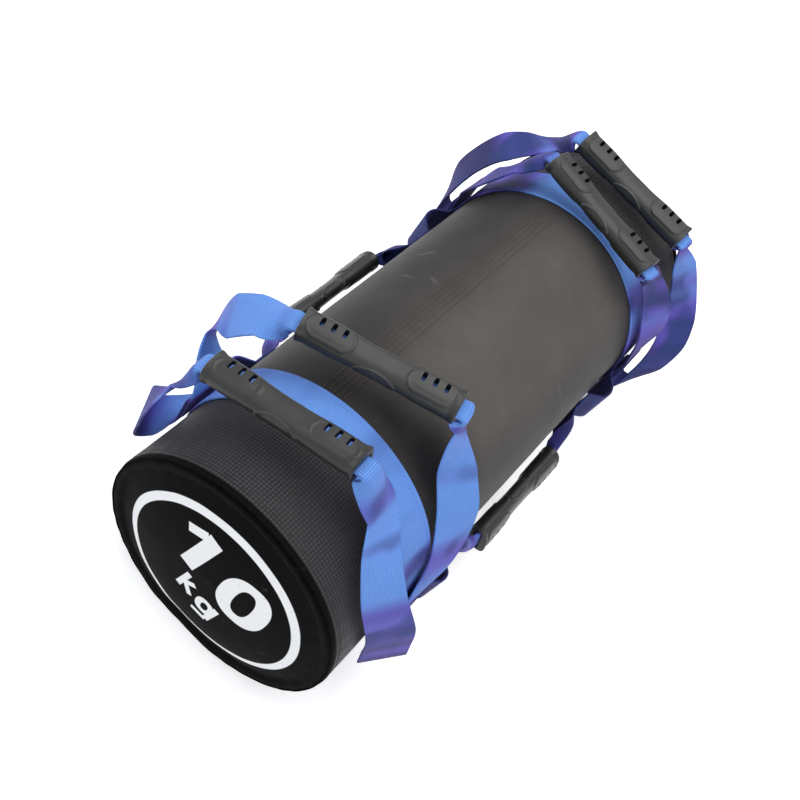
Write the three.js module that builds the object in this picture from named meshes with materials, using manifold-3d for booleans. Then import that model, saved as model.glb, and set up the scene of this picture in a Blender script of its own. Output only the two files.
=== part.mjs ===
// Sandbag trainer: a soft round bag that lies on its side, with four webbing carrying loops on top,
// two webbing hand loops on its flanks and six moulded grip sleeves.
// Millimetres, +Z up. The bag's axis runs along Y, the printed end faces -Y and the origin is on the
// floor under the bag's middle.

import * as THREE from 'three';
import { mergeVertices } from 'three/addons/utils/BufferGeometryUtils.js';
import Module from 'manifold-3d';

const wasm = await Module();
wasm.setup();

// Bag: the outline of its casing
const bagRadius = 100;
const settledShare = 0.97;
const axisHeight = settledShare * bagRadius;
const seamHalfLength = 250;
const domeDepth = 18;
const domePowerShare = 2.5;
const skinThickness = 1.2;
const outlineSides = 36;
const domeRingShares = [1, 0.95, 0.84, 0.62, 0.32];
const domeInnerRingShares = [1, 0.8, 0.4];
const paddingRingShares = [0.4, 0.8, 1];

// Clearance between pieces that touch
const gap = 0.3;
const angleSlack = 0.0001;

// Webbing
const webWidth = 38;
const webThickness = 1.8;
const webFoldShare = 0.42;
const webFoldThickness = 4;
const mouthLead = 7;
const webStep = 11;
const sewnHalfLength = 14;
const bendLead = 2;
const underLead = 8;
const topLayer = 3;

// Bands and flank straps
const frontBandInset = 84;
const rearBandInset = 73;
const frontBandY = frontBandInset - seamHalfLength;
const rearBandY = seamHalfLength - rearBandInset;
const bandRampLength = 8;
const flankTackShare = 0.424;
const flankTackY = flankTackShare * seamHalfLength;
const flankDrop = 11;
const flankSewnHalfLength = 8;
const spanTail = 9;
const spanStandOff = 10;
const spanSteps = 3;
const swingClearance = 6;
const handLoopLift = 9;
const handLoopRun = 8;
const handLoopFoldShare = 0.5;

// Grip sleeves
const gripLengthShare = 0.476;
const gripLength = gripLengthShare * seamHalfLength;
const gripWidth = 22.8;
const gripWaistWidth = 20.8;
const gripThickness = 16.8;
const gripWaistThickness = 14.2;
const gripFlare = 2;
const gripSides = 10;
const padLength = 37;
const padRise = 0.8;
const padWidthShare = 0.72;
const padEndMargin = 3;
const padCentre = (gripLength - padLength) / 2 - padEndMargin;
const slotCount = 3;
const slotPitch = 8.6;
const slotWidth = 3.2;
const slotLength = 7.2;
const slotLipMargin = 2.4;
const slotSegments = 2;
const padSegments = 3;
const bossLength = 32;
const bossWidth = 10;
const bossRise = 0.8;
const bossSegments = 7;
const lipSlit = 0.8;
const cutOverrun = 4;

// Seam strips inside the casing
const stripThickness = 1;
const seamTapeWidth = 12;
const lapStripFirstSide = -3;
const lapStripSides = 2;
const lapStripShare = 0.8;

// Filling
const pouchRadiusShare = 0.67;
const pouchRadius = pouchRadiusShare * bagRadius;
const paddingDepth = 32;
const pouchHalfLength = seamHalfLength - paddingDepth;
const pouchThickness = 0.8;
const pouchCorner = 14;
const neckRadius = 12;
const neckLength = 9;
const tieThickness = 2.4;
const tieWidth = 4;
const roundSides = 20;
const cornerSteps = 2;

// Colours
const charcoal = { color: 0x2b2a2a, roughness: 0.62, metalness: 0 };
const black = { color: 0x161616, roughness: 0.7, metalness: 0 };
const blue = { color: 0x3a63e8, roughness: 0.75, metalness: 0 };
const gripBlack = { color: 0x2a2b2a, roughness: 0.5, metalness: 0 };
const wadding = { color: 0xd8d4c8, roughness: 0.95, metalness: 0 };
const pouchGrey = { color: 0x8f9296, roughness: 0.6, metalness: 0 };
const sand = { color: 0xb99d6b, roughness: 1, metalness: 0 };
const tieWhite = { color: 0xe8e8e4, roughness: 0.6, metalness: 0 };

const halfTurn = Math.PI;
const quarterTurn = Math.PI / 2;
const restAngle = 2 * halfTurn / outlineSides;

const part = new THREE.Group();

function addMesh(name, geometry, finish) {
  const mesh = new THREE.Mesh(geometry, new THREE.MeshStandardMaterial(finish));
  mesh.name = name;
  part.add(mesh);
  return mesh;
}

// Signed volume of an indexed triangle list: positive when its faces point out.
function signedVolume(points, index) {
  let sum = 0;
  for (let i = 0; i < index.length; i += 3) {
    const [a, b, c] = [points[index[i]], points[index[i + 1]], points[index[i + 2]]];
    sum += a.dot(new THREE.Vector3().crossVectors(b, c));
  }
  return sum;
}

// Skins a row of rings, all with the same count of points. A wrapped row closes on itself;
// an open one is closed by a fan of triangles at each end.
function loft(rings, wrapped = false) {
  const sides = rings[0].length;
  const points = rings.flat().map((point) => point.clone());
  const index = [];
  const spans = wrapped ? rings.length : rings.length - 1;
  for (let ring = 0; ring < spans; ring += 1) {
    const next = (ring + 1) % rings.length;
    for (let side = 0; side < sides; side += 1) {
      const beside = (side + 1) % sides;
      const corner = ring * sides + side;
      const across = next * sides + side;
      const cornerBeside = ring * sides + beside;
      const acrossBeside = next * sides + beside;
      index.push(corner, across, cornerBeside, cornerBeside, across, acrossBeside);
    }
  }
  if (!wrapped) {
    for (const ring of [0, rings.length - 1]) {
      const middle = new THREE.Vector3();
      rings[ring].forEach((point) => middle.add(point));
      middle.divideScalar(sides);
      points.push(middle);
      for (let side = 0; side < sides; side += 1) {
        const corner = ring * sides + side;
        const beside = ring * sides + (side + 1) % sides;
        const fan = [points.length - 1, corner, beside];
        index.push(...(ring === 0 ? fan : fan.reverse()));
      }
    }
  }
  if (signedVolume(points, index) < 0) index.reverse();
  const geometry = new THREE.BufferGeometry();
  geometry.setAttribute('position', new THREE.Float32BufferAttribute(points.flatMap((p) => p.toArray()), 3));
  geometry.setIndex(index);
  return geometry;
}

// Boolean cuts and joins
function toSolid(geometry) {
  const bare = geometry.clone();
  bare.deleteAttribute('normal');
  bare.deleteAttribute('uv');
  const merged = mergeVertices(bare);
  const vertProperties = new Float32Array(merged.attributes.position.array);
  const triVerts = new Uint32Array(merged.index.array);
  return new wasm.Manifold(new wasm.Mesh({ numProp: 3, vertProperties, triVerts }));
}

function toGeometry(solid) {
  const mesh = solid.getMesh();
  const geometry = new THREE.BufferGeometry();
  geometry.setAttribute('position', new THREE.Float32BufferAttribute(mesh.vertProperties, 3));
  geometry.setIndex(Array.from(mesh.triVerts));
  return geometry;
}

// Distance from the bag's axis to its outline, at an angle from straight down. The outline is a
// circle that settles on a flat underside through an arc at each side.
function outlineReach(angle, radius, drop) {
  const away = Math.abs(Math.atan2(Math.sin(angle), Math.cos(angle)));
  const flatHalf = drop * Math.tan(restAngle);
  const arcRadius = (radius ** 2 - flatHalf ** 2 - drop ** 2) / (2 * (radius - drop));
  if (away <= restAngle + angleSlack) return drop / Math.cos(away);
  if (away >= Math.atan2(flatHalf, drop - arcRadius)) return radius;
  const along = Math.sin(away) * flatHalf + Math.cos(away) * (drop - arcRadius);
  const offset = flatHalf ** 2 + (drop - arcRadius) ** 2;
  return along + Math.sqrt(arcRadius ** 2 - offset + along ** 2);
}

// One ring of the bag's outline in the plane at y, drawn in to a share of its size about the axis.
function bagRing(y, radius, drop, share = 1) {
  const ring = [];
  for (let side = 0; side < outlineSides; side += 1) {
    const angle = side * restAngle;
    const reach = share * outlineReach(angle, radius, drop);
    ring.push(new THREE.Vector3(reach * Math.sin(angle), y, axisHeight - reach * Math.cos(angle)));
  }
  return ring;
}

// A round ring about the bag's axis that clears the radius all round.
function roundRing(y, radius) {
  const ring = [];
  const reach = radius / Math.cos(restAngle / 2);
  for (let side = 0; side < outlineSides; side += 1) {
    const angle = side * restAngle;
    ring.push(new THREE.Vector3(reach * Math.sin(angle), y, axisHeight - reach * Math.cos(angle)));
  }
  return ring;
}

// The casing is pressed up by a band's thickness where a band passes under it.
const pressedHeight = axisHeight - webThickness - gap;
const innerLayer = skinThickness + 2 * gap + stripThickness;
const coreRadius = bagRadius - innerLayer;
const coreDrop = pressedHeight - innerLayer;

function sidePanelStations() {
  const stations = [[-seamHalfLength + gap / 2, axisHeight]];
  for (const bandY of [frontBandY, rearBandY]) {
    const reach = webWidth / 2 + gap;
    stations.push([bandY - reach - bandRampLength, axisHeight]);
    stations.push([bandY - reach, pressedHeight]);
    stations.push([bandY + reach, pressedHeight]);
    stations.push([bandY + reach + bandRampLength, axisHeight]);
  }
  stations.push([seamHalfLength - gap / 2, axisHeight]);
  return stations;
}

function sidePanel() {
  const stations = sidePanelStations();
  const outer = stations.map(([y, drop]) => bagRing(y, bagRadius, drop));
  const inner = stations.map(([y, drop]) => bagRing(y, bagRadius - skinThickness, drop - skinThickness));
  return loft([...outer, ...inner.reverse()], true);
}

// A dome's height over its rim, at a share of the radius.
function domeRise(share) {
  return domeDepth * (1 - share ** domePowerShare);
}

function endPanel(end) {
  const rimY = seamHalfLength + gap / 2;
  const outer = domeRingShares.map((share) =>
    bagRing(end * (rimY + domeRise(share)), bagRadius, axisHeight, share));
  const inner = domeInnerRingShares.map((share) =>
    bagRing(end * (rimY + domeRise(share) - skinThickness * (1 - share)), bagRadius - skinThickness,
      axisHeight - skinThickness, share));
  return loft([...outer.reverse(), ...inner]);
}

function band(bandY) {
  const outer = [-1, 1].map((side) =>
    bagRing(bandY + side * webWidth / 2, bagRadius + gap + webThickness, axisHeight));
  const inner = [1, -1].map((side) =>
    bagRing(bandY + side * webWidth / 2, bagRadius + gap, axisHeight - webThickness));
  return loft([...outer, ...inner], true);
}

function seamTape(end) {
  const inset = skinThickness + gap;
  const near = end * (seamHalfLength - gap / 2);
  const far = end * (seamHalfLength - seamTapeWidth);
  const outer = [near, far].map((y) => bagRing(y, bagRadius - inset, axisHeight - inset));
  const inner = [far, near].map((y) =>
    bagRing(y, bagRadius - inset - stripThickness, axisHeight - inset - stripThickness));
  return loft([...outer, ...inner], true);
}

function lapStrip() {
  const halfLength = lapStripShare * (seamHalfLength - seamTapeWidth);
  const outerRadius = bagRadius - skinThickness - gap;
  const rings = [];
  for (let side = lapStripFirstSide; side <= lapStripFirstSide + lapStripSides; side += 1) {
    const angle = side * restAngle;
    const ray = new THREE.Vector3(Math.sin(angle), 0, Math.cos(angle));
    const centre = new THREE.Vector3(0, 0, axisHeight);
    rings.push([[-1, 0], [1, 0], [1, 1], [-1, 1]].map(([end, depth]) =>
      ray.clone().multiplyScalar(outerRadius - depth * stripThickness).add(centre)
        .setY(end * halfLength)));
  }
  return loft(rings);
}

function paddingJacket() {
  const inner = pouchRadius + gap;
  const half = pouchHalfLength;
  const outer = [-1, 1].map((side) => bagRing(side * half, coreRadius, coreDrop));
  const bore = [1, -1].map((side) => roundRing(side * half, inner));
  return loft([...outer, ...bore], true);
}

function paddingDisc(end) {
  const flatY = pouchHalfLength + gap;
  const rimY = seamHalfLength - skinThickness - gap;
  const domed = paddingRingShares.map((share) =>
    bagRing(end * (rimY + domeRise(share)), coreRadius, coreDrop, share));
  return loft([...domed, bagRing(end * flatY, coreRadius, coreDrop)]);
}

// Turned pieces of the filling, about the bag's axis
function turned(profile, sides = roundSides) {
  const points = profile.map(([x, y]) => new THREE.Vector2(x, y));
  return new THREE.LatheGeometry(points, sides).translate(0, 0, axisHeight);
}

function roundedCorner(radius, y, corner, side) {
  const points = [];
  for (let step = 0; step <= cornerSteps; step += 1) {
    const angle = quarterTurn * step / cornerSteps;
    const [out, back] = [corner * Math.sin(angle), corner * Math.cos(angle)];
    points.push([radius - corner + out, y + side * (back - corner)]);
  }
  return points;
}

function sandFill() {
  const radius = pouchRadius - pouchThickness - gap;
  const half = pouchHalfLength - neckLength - gap - pouchThickness;
  return turned([[0, half], ...roundedCorner(radius, half, pouchCorner, 1),
    ...roundedCorner(radius, -half, pouchCorner, -1).reverse(), [0, -half]].reverse());
}

function sandPouch() {
  const outerHalf = pouchHalfLength - neckLength;
  const innerHalf = outerHalf - pouchThickness;
  const innerRadius = pouchRadius - pouchThickness;
  const neckInner = neckRadius - pouchThickness;
  return turned([[0, -outerHalf], ...roundedCorner(pouchRadius, -outerHalf, pouchCorner, -1),
    ...roundedCorner(pouchRadius, outerHalf, pouchCorner, 1).reverse(), [neckRadius, outerHalf],
    [neckRadius, pouchHalfLength - gap], [neckInner, pouchHalfLength - gap], [neckInner, innerHalf],
    ...roundedCorner(innerRadius, innerHalf, pouchCorner, 1),
    ...roundedCorner(innerRadius, -innerHalf, pouchCorner, -1).reverse(), [0, -innerHalf]]);
}

function pouchTie() {
  const inner = neckRadius + gap;
  const from = pouchHalfLength - neckLength / 2 - tieWidth / 2;
  return turned([[inner, from], [inner + tieThickness, from], [inner + tieThickness, from + tieWidth],
    [inner, from + tieWidth], [inner, from]]);
}

// Grip sleeve in its own frame: X along its length, Y from the lips to the spine, Z its thickness.
function smoothStep(value, from, to) {
  const share = Math.min(1, Math.max(0, (value - from) / (to - from)));
  return share * share * (3 - 2 * share);
}

const gripStationShares = [0, 0.3, 0.62, 0.9, 1];
const waistEndShare = 0.14;
const padStartShare = 0.62;
const flareStartShare = 0.9;
const spineRoundness = 0.92;
const lipRoundness = 0.5;

function gripRing(share, grow) {
  const away = Math.abs(share);
  const swell = smoothStep(away, waistEndShare, padStartShare);
  const flare = gripFlare * smoothStep(away, flareStartShare, 1);
  const halfWidth = (gripWaistWidth + (gripWidth - gripWaistWidth) * swell + flare) / 2 + grow;
  const halfThick = (gripWaistThickness + (gripThickness - gripWaistThickness) * swell + flare) / 2 + grow;
  const ring = [];
  for (let side = 0; side < gripSides; side += 1) {
    const angle = 2 * halfTurn * (side + 1 / 2) / gripSides;
    const [across, up] = [Math.cos(angle), Math.sin(angle)];
    const power = across > 0 ? spineRoundness : lipRoundness;
    const y = Math.sign(across) * Math.abs(across) ** power * halfWidth;
    const z = Math.sign(up) * Math.abs(up) ** power * halfThick;
    ring.push(new THREE.Vector3(share * gripLength / 2, y, z));
  }
  return ring;
}

function gripBody(grow) {
  const shares = [...gripStationShares.slice(1).reverse().map((share) => -share), ...gripStationShares];
  return toSolid(loft(shares.map((share) => gripRing(share, grow))));
}

// A block with round ends, along X, standing through the sleeve along Z.
function roundEnded(length, width, depth, segments) {
  const straight = (length - width) / 2;
  const shape = new THREE.Shape();
  shape.absarc(straight, 0, width / 2, -quarterTurn, quarterTurn, false);
  shape.absarc(-straight, 0, width / 2, quarterTurn, 3 * quarterTurn, false);
  return new THREE.ExtrudeGeometry(shape, { depth, bevelEnabled: false, curveSegments: segments })
    .translate(0, 0, -depth / 2);
}

const webFoldWidth = webWidth * webFoldShare;
const channelWidth = webFoldWidth + 2 * gap;
const channelThickness = webFoldThickness + 2 * gap;

function gripSleeve() {
  const through = gripLength + 2 * gripFlare + cutOverrun;
  const full = gripThickness + 2 * gripFlare + 2 * padRise + cutOverrun;
  let solid = gripBody(0);
  const raised = gripBody(padRise);
  for (const end of [-1, 1]) {
    const pad = roundEnded(padLength, gripWidth * padWidthShare, full, padSegments)
      .translate(end * padCentre, 0, 0);
    solid = solid.add(raised.intersect(toSolid(pad)));
  }
  const boss = new THREE.ExtrudeGeometry(
    new THREE.Shape().absellipse(0, 0, bossLength / 2, bossWidth / 2, 0, 2 * halfTurn, false, 0),
    { depth: gripWidth, bevelEnabled: false, curveSegments: bossSegments });
  boss.rotateX(-quarterTurn);
  solid = solid.add(gripBody(bossRise).intersect(toSolid(boss)));
  solid = solid.subtract(toSolid(new THREE.BoxGeometry(through, channelWidth, channelThickness)));
  const slit = new THREE.BoxGeometry(through, gripWidth + 2 * gripFlare, lipSlit);
  solid = solid.subtract(toSolid(slit.translate(0, -gripWidth / 2 - gripFlare, 0)));
  const slotY = -gripWaistWidth / 2 + slotLipMargin + slotLength / 2;
  for (const end of [-1, 1]) {
    for (let slot = 0; slot < slotCount; slot += 1) {
      const cut = roundEnded(slotLength, slotWidth, full, slotSegments).rotateZ(quarterTurn);
      const x = end * padCentre + (slot - (slotCount - 1) / 2) * slotPitch;
      solid = solid.subtract(toSolid(cut.translate(x, slotY, 0)));
    }
  }
  return toGeometry(solid);
}

// Webbing: a strip that follows a route. Each place of the route has a centre, the line that the
// strip's width lies along and a fold share, 0 for the open strip and 1 where it is folded.
function strip(places) {
  const curve = new THREE.CatmullRomCurve3(places.map((place) => place.centre), false, 'centripetal');
  const last = places.length - 1;
  const lines = [places[0].line];
  for (const place of places.slice(1)) {
    const before = lines[lines.length - 1];
    lines.push(place.line.clone().multiplyScalar(before.dot(place.line) < 0 ? -1 : 1));
  }
  const rings = [];
  for (let span = 0; span < last; span += 1) {
    const length = places[span].centre.distanceTo(places[span + 1].centre);
    const steps = Math.max(1, Math.round(length / webStep));
    for (let step = span === 0 ? 0 : 1; step <= steps; step += 1) {
      const share = step / steps;
      const along = curve.getPoint((span + share) / last);
      const tangent = curve.getTangent((span + share) / last);
      const fold = places[span].fold + (places[span + 1].fold - places[span].fold) * share;
      const width = lines[span].clone().lerp(lines[span + 1], share).normalize();
      const normal = new THREE.Vector3().crossVectors(tangent, width).normalize();
      const halfWidth = (webWidth + (webFoldWidth - webWidth) * fold) / 2;
      const halfThick = (webThickness + (webFoldThickness - webThickness) * fold) / 2;
      rings.push([[-1, -1], [1, -1], [1, 1], [-1, 1]].map(([across, up]) => along.clone()
        .addScaledVector(width, across * halfWidth).addScaledVector(normal, up * halfThick)));
    }
  }
  return loft(rings);
}

// Places along a grip: its channel runs straight, so the strip has collinear places in and near it.
function gripPlaces(grip) {
  const along = new THREE.Vector3(1, 0, 0).applyQuaternion(grip.turn);
  const line = new THREE.Vector3(0, 1, 0).applyQuaternion(grip.turn);
  const mouth = gripLength / 2;
  return [mouth + mouthLead, mouth, mouth / 2, -mouth / 2, -mouth, -mouth - mouthLead]
    .map((reach) => ({ centre: grip.centre.clone().addScaledVector(along, reach), line, fold: 1 }));
}

// Turns a leg's table into places: each row has x, y and z as shares of the bag's radius, from the
// bag's axis at the band, and the line of the strip's width. Both run outwards along X.
function legPlaces(shares, side, originY) {
  return shares.map(([x, y, z, lineX, lineY, lineZ]) => ({
    centre: new THREE.Vector3(side * x * bagRadius, originY + y * bagRadius, axisHeight + z * bagRadius),
    line: new THREE.Vector3(side * lineX, lineY, lineZ).normalize(),
    fold: 0,
  }));
}

// Centre of a sewn layer on the flank: the band is layer 0.
function layerReach(layer) {
  return bagRadius + gap + webThickness / 2 + layer * (webThickness + gap);
}

// A sewn end lies flat; the place just before it leaves keeps the bend out of the flat run. An end
// under another one starts and leaves a little further on.
function sewnPlaces(side, layer, bandY, outward) {
  const under = layer < topLayer ? underLead : 0;
  const leave = sewnHalfLength + under;
  return [under - sewnHalfLength, leave - bendLead, leave].map((reach) => ({
    centre: new THREE.Vector3(side * layerReach(layer), bandY, axisHeight + outward * reach),
    line: new THREE.Vector3(0, -1, 0),
    fold: 0,
  }));
}

// Places a grip by its centre and its long axis, with its spine turned towards a direction.
function gripPlace(centreShares, originY, axisShares, spineShares) {
  const [x, y, z] = centreShares;
  const centre = new THREE.Vector3(x * bagRadius, originY + y * bagRadius, axisHeight + z * bagRadius);
  const along = new THREE.Vector3(...axisShares).normalize();
  const spine = new THREE.Vector3(...spineShares);
  spine.addScaledVector(along, -spine.dot(along)).normalize();
  const basis = new THREE.Matrix4().makeBasis(along, spine, new THREE.Vector3().crossVectors(along, spine));
  return { centre, turn: new THREE.Quaternion().setFromRotationMatrix(basis) };
}

// The four top loops. Legs run from the sewn end to the grip; down legs leave their sewn end
// downwards and turn back up, the others go straight up.
const topLoops = [
  {
    name: 'front_lead', bandY: frontBandY, layer: 3, leaves: -1,
    centreShares: [-0.4, -0.37, 1.22], axisShares: [0.95, 0.045, 0.31], spineShares: [0, -1, -0.1],
    rightShares: [[1.12, -0.01, -0.24, 0, -1, 0], [1.18, -0.1, -0.34, -0.25, -0.96, -0.05],
      [1.22, -0.26, -0.27, -0.58, -0.8, -0.15], [1.17, -0.34, 0.01, -0.56, -0.82, -0.14],
      [1.1, -0.41, 0.32, -0.5, -0.86, -0.1], [0.88, -0.48, 0.7, -0.45, -0.89, 0.13],
      [0.67, -0.41, 0.92, -0.41, -0.85, 0.33], [0.44, -0.26, 1.1, 0.06, -0.97, 0.23]],
    leftShares: [[1.12, -0.03, -0.24, -0.1, -0.99, 0], [1.2, -0.14, -0.33, -0.38, -0.92, -0.05],
      [1.27, -0.29, -0.25, -0.44, -0.89, -0.1], [1.25, -0.38, 0.03, -0.44, -0.85, 0.1],
      [1.17, -0.43, 0.35, -0.2, -0.8, 0.5], [1.08, -0.42, 0.7, 0, -0.8, 0.55]],
  },
  {
    name: 'front_trail', bandY: frontBandY, layer: 2, leaves: 1,
    centreShares: [-0.24, 0.4, 1.275], axisShares: [1.16, 0.28, 0.23], spineShares: [0, -1, -0.25],
    rightShares: [[1.05, 0.07, 0.3, -0.1, -0.98, 0.1], [0.99, 0.27, 0.46, -0.28, -0.91, 0.31],
      [0.85, 0.41, 0.7, -0.38, -0.92, 0], [0.62, 0.5, 0.95, -0.46, -0.86, 0.19],
      [0.45, 0.55, 1.2, -0.11, -0.73, 0.67]],
    leftShares: [[1.09, 0.04, 0.27, 0, -1, 0.1], [1.22, 0.11, 0.33, -0.05, -0.85, 0.5],
      [1.3, 0.17, 0.43, -0.1, -0.65, 0.75], [1.29, 0.18, 0.63, -0.35, -0.78, 0.52],
      [1.22, 0.16, 0.8, -0.52, -0.85, -0.07], [1.07, 0.19, 0.99, -0.5, -0.86, 0.1]],
  },
  {
    name: 'rear_lead', bandY: rearBandY, layer: 2, leaves: 1,
    centreShares: [-0.01, -0.18, 1.19], axisShares: [0.989, -0.144, 0.007], spineShares: [0, -1, 0],
    rightShares: [[1.05, 0.02, 0.3, -0.1, -0.99, 0], [1.01, 0.03, 0.51, -0.25, -0.96, 0.05],
      [0.84, 0, 0.81, -0.45, -0.88, 0.07], [0.68, -0.13, 1.04, -0.2, -0.95, 0.2]],
    leftShares: [[1.05, -0.06, 0.3, 0, -0.98, 0.15], [0.98, -0.12, 0.5, -0.2, -0.8, 0.5],
      [0.88, -0.11, 0.76, -0.42, -0.59, 0.68]],
  },
  {
    name: 'rear_trail', bandY: rearBandY, layer: 3, leaves: -1,
    centreShares: [0.01, 0.405, 1.155], axisShares: [1, -0.01, -0.007], spineShares: [0, -1, -0.2],
    rightShares: [[1.11, 0.02, -0.21, -0.1, -0.99, 0], [1.19, 0.12, -0.24, -0.25, -0.97, 0],
      [1.27, 0.33, -0.14, -0.5, -0.86, 0], [1.26, 0.55, 0.07, -0.6, -0.8, -0.03],
      [1.15, 0.66, 0.28, -0.6, -0.79, -0.06], [0.99, 0.7, 0.52, -0.35, -0.93, 0],
      [0.8, 0.67, 0.78, -0.25, -0.95, 0.1], [0.67, 0.57, 0.98, -0.05, -0.86, 0.5]],
    leftShares: [[1.1, 0, -0.21, 0, -1, 0], [1.17, 0.03, -0.24, -0.1, -0.97, 0.1],
      [1.24, 0.13, -0.12, -0.3, -0.9, 0.2], [1.26, 0.23, 0.12, -0.55, -0.72, 0.4],
      [1.19, 0.3, 0.38, -0.6, -0.72, 0.3], [1.09, 0.34, 0.58, -0.6, -0.79, 0.11],
      [0.94, 0.4, 0.75, -0.62, -0.7, 0.3], [0.8, 0.45, 0.87, -0.5, -0.68, 0.5]],
  },
];

function addGrip(name, grip) {
  const mesh = addMesh(name, gripSleeve(), gripBlack);
  mesh.position.copy(grip.centre);
  mesh.quaternion.copy(grip.turn);
}

function addTopLoop(loop) {
  const grip = gripPlace(loop.centreShares, loop.bandY, loop.axisShares, loop.spineShares);
  const right = [...sewnPlaces(1, loop.layer, loop.bandY, loop.leaves),
    ...legPlaces(loop.rightShares, 1, loop.bandY)];
  const left = [...sewnPlaces(-1, loop.layer, loop.bandY, loop.leaves),
    ...legPlaces(loop.leftShares, -1, loop.bandY)].reverse();
  addMesh(`${loop.name}_webbing`, strip([...right, ...gripPlaces(grip), ...left]), blue);
  addGrip(`${loop.name}_grip`, grip);
}

// The two flank straps: a span at each end, sewn to the band and tacked to the casing, and the
// hand loop between the tacks.
const flankLoops = [
  {
    name: 'right', side: 1,
    centreShares: [1.165, 0.065, -0.33], axisShares: [0, 1, 0], spineShares: [-0.3, 0, 0.95],
  },
  {
    name: 'left', side: -1,
    centreShares: [-1.2, 0.16, -0.32], axisShares: [0, 1, 0], spineShares: [0.3, 0, 0.95],
  },
];

const flankHeight = axisHeight - flankDrop;

function flankPlace(side, x, y) {
  return { centre: new THREE.Vector3(side * x, y, flankHeight), line: new THREE.Vector3(0, 0, 1), fold: 0 };
}

// A span from a band to the near tack: it stands off the casing between the two.
function flankSpan(side, bandY, tackY) {
  const towards = Math.sign(tackY - bandY);
  const edge = bandY + towards * (webWidth / 2 + swingClearance);
  const start = tackY - towards * flankSewnHalfLength;
  const reach = layerReach(1);
  const stand = (start - edge) / spanSteps;
  const flat = layerReach(0);
  return strip([
    flankPlace(side, reach, bandY - towards * spanTail),
    flankPlace(side, reach, edge - towards * bendLead),
    flankPlace(side, reach, edge),
    flankPlace(side, reach + spanStandOff, edge + stand),
    flankPlace(side, reach + spanStandOff, edge + 2 * stand),
    flankPlace(side, flat, start),
    flankPlace(side, flat, start + towards * bendLead),
    flankPlace(side, flat, tackY + towards * flankSewnHalfLength),
  ]);
}

// A hand loop leaves its tack flat on the casing, then stands off it as it gathers to its grip.
function handLoopLeg(strap, start) {
  const flat = layerReach(0);
  const leave = start - 2 * bendLead;
  const lift = flankPlace(strap.side, flat + handLoopLift, leave - handLoopRun);
  return [start, leave + bendLead, leave].map((y) => flankPlace(strap.side, flat, y))
    .concat({ ...lift, fold: handLoopFoldShare });
}

function addFlankStrap(strap) {
  addMesh(`${strap.name}_front_span`, flankSpan(strap.side, frontBandY, -flankTackY), blue);
  addMesh(`${strap.name}_rear_span`, flankSpan(strap.side, rearBandY, flankTackY), blue);
  const grip = gripPlace(strap.centreShares, 0, strap.axisShares, strap.spineShares);
  const start = flankTackY - flankSewnHalfLength - gap;
  const rear = handLoopLeg(strap, start);
  const front = handLoopLeg(strap, start).map((place) =>
    ({ ...place, centre: place.centre.clone().setY(-place.centre.y) })).reverse();
  addMesh(`${strap.name}_flank_webbing`,
    strip([...rear, ...gripPlaces(grip), ...front]), blue);
  addGrip(`${strap.name}_flank_grip`, grip);
}

addMesh('side_panel', sidePanel(), charcoal);
addMesh('front_end_panel', endPanel(-1), black);
addMesh('rear_end_panel', endPanel(1), black);
addMesh('front_seam_tape', seamTape(-1), black);
addMesh('rear_seam_tape', seamTape(1), black);
addMesh('lap_seam_strip', lapStrip(), black);
addMesh('padding_jacket', paddingJacket(), wadding);
addMesh('front_padding_disc', paddingDisc(-1), wadding);
addMesh('rear_padding_disc', paddingDisc(1), wadding);
addMesh('sand_pouch', sandPouch(), pouchGrey);
addMesh('pouch_tie', pouchTie(), tieWhite);
addMesh('sand_fill', sandFill(), sand);
addMesh('front_band', band(frontBandY), blue);
addMesh('rear_band', band(rearBandY), blue);
topLoops.forEach(addTopLoop);
flankLoops.forEach(addFlankStrap);

export default part;
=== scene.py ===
"""Looks of the sandbag trainer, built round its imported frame.

The bag lies on its side along Y with its printed end towards -Y. Lengths in this file are in
millimetres in the frame of the part, +Z up, and become metres when a mesh is made. Places and
depths inside the shaders are in metres, as Blender gives them there.
"""

import logging
import math
from dataclasses import dataclass
from enum import Enum
from typing import Callable, Optional, Sequence, Union

import bmesh
import bpy
import numpy as np
from mathutils import Matrix, Vector, noise


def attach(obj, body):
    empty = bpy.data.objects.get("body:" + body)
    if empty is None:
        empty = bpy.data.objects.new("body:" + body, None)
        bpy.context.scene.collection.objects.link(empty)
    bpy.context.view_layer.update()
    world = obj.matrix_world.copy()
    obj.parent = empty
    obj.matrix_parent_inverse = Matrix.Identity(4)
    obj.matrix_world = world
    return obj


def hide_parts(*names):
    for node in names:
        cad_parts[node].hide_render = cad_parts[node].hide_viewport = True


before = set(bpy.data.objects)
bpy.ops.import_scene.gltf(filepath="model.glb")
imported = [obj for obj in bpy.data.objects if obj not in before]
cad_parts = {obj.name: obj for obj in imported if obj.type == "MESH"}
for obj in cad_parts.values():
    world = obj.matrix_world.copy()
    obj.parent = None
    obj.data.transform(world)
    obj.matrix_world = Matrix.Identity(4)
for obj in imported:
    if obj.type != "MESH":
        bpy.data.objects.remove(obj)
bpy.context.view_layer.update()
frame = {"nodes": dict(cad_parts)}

LOG = logging.getLogger("sandbag")
MM = 0.001
TAU = 2 * math.pi

# Bag
BAG_RADIUS = 100.0
AXIS_HEIGHT = 97.0
SEAM_HALF = 250.0
DOME_DEPTH = 18.0
DOME_POWER = 2.5
SKIN = 1.2
REST_ANGLE = TAU / 36
GAP = 0.3

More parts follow.
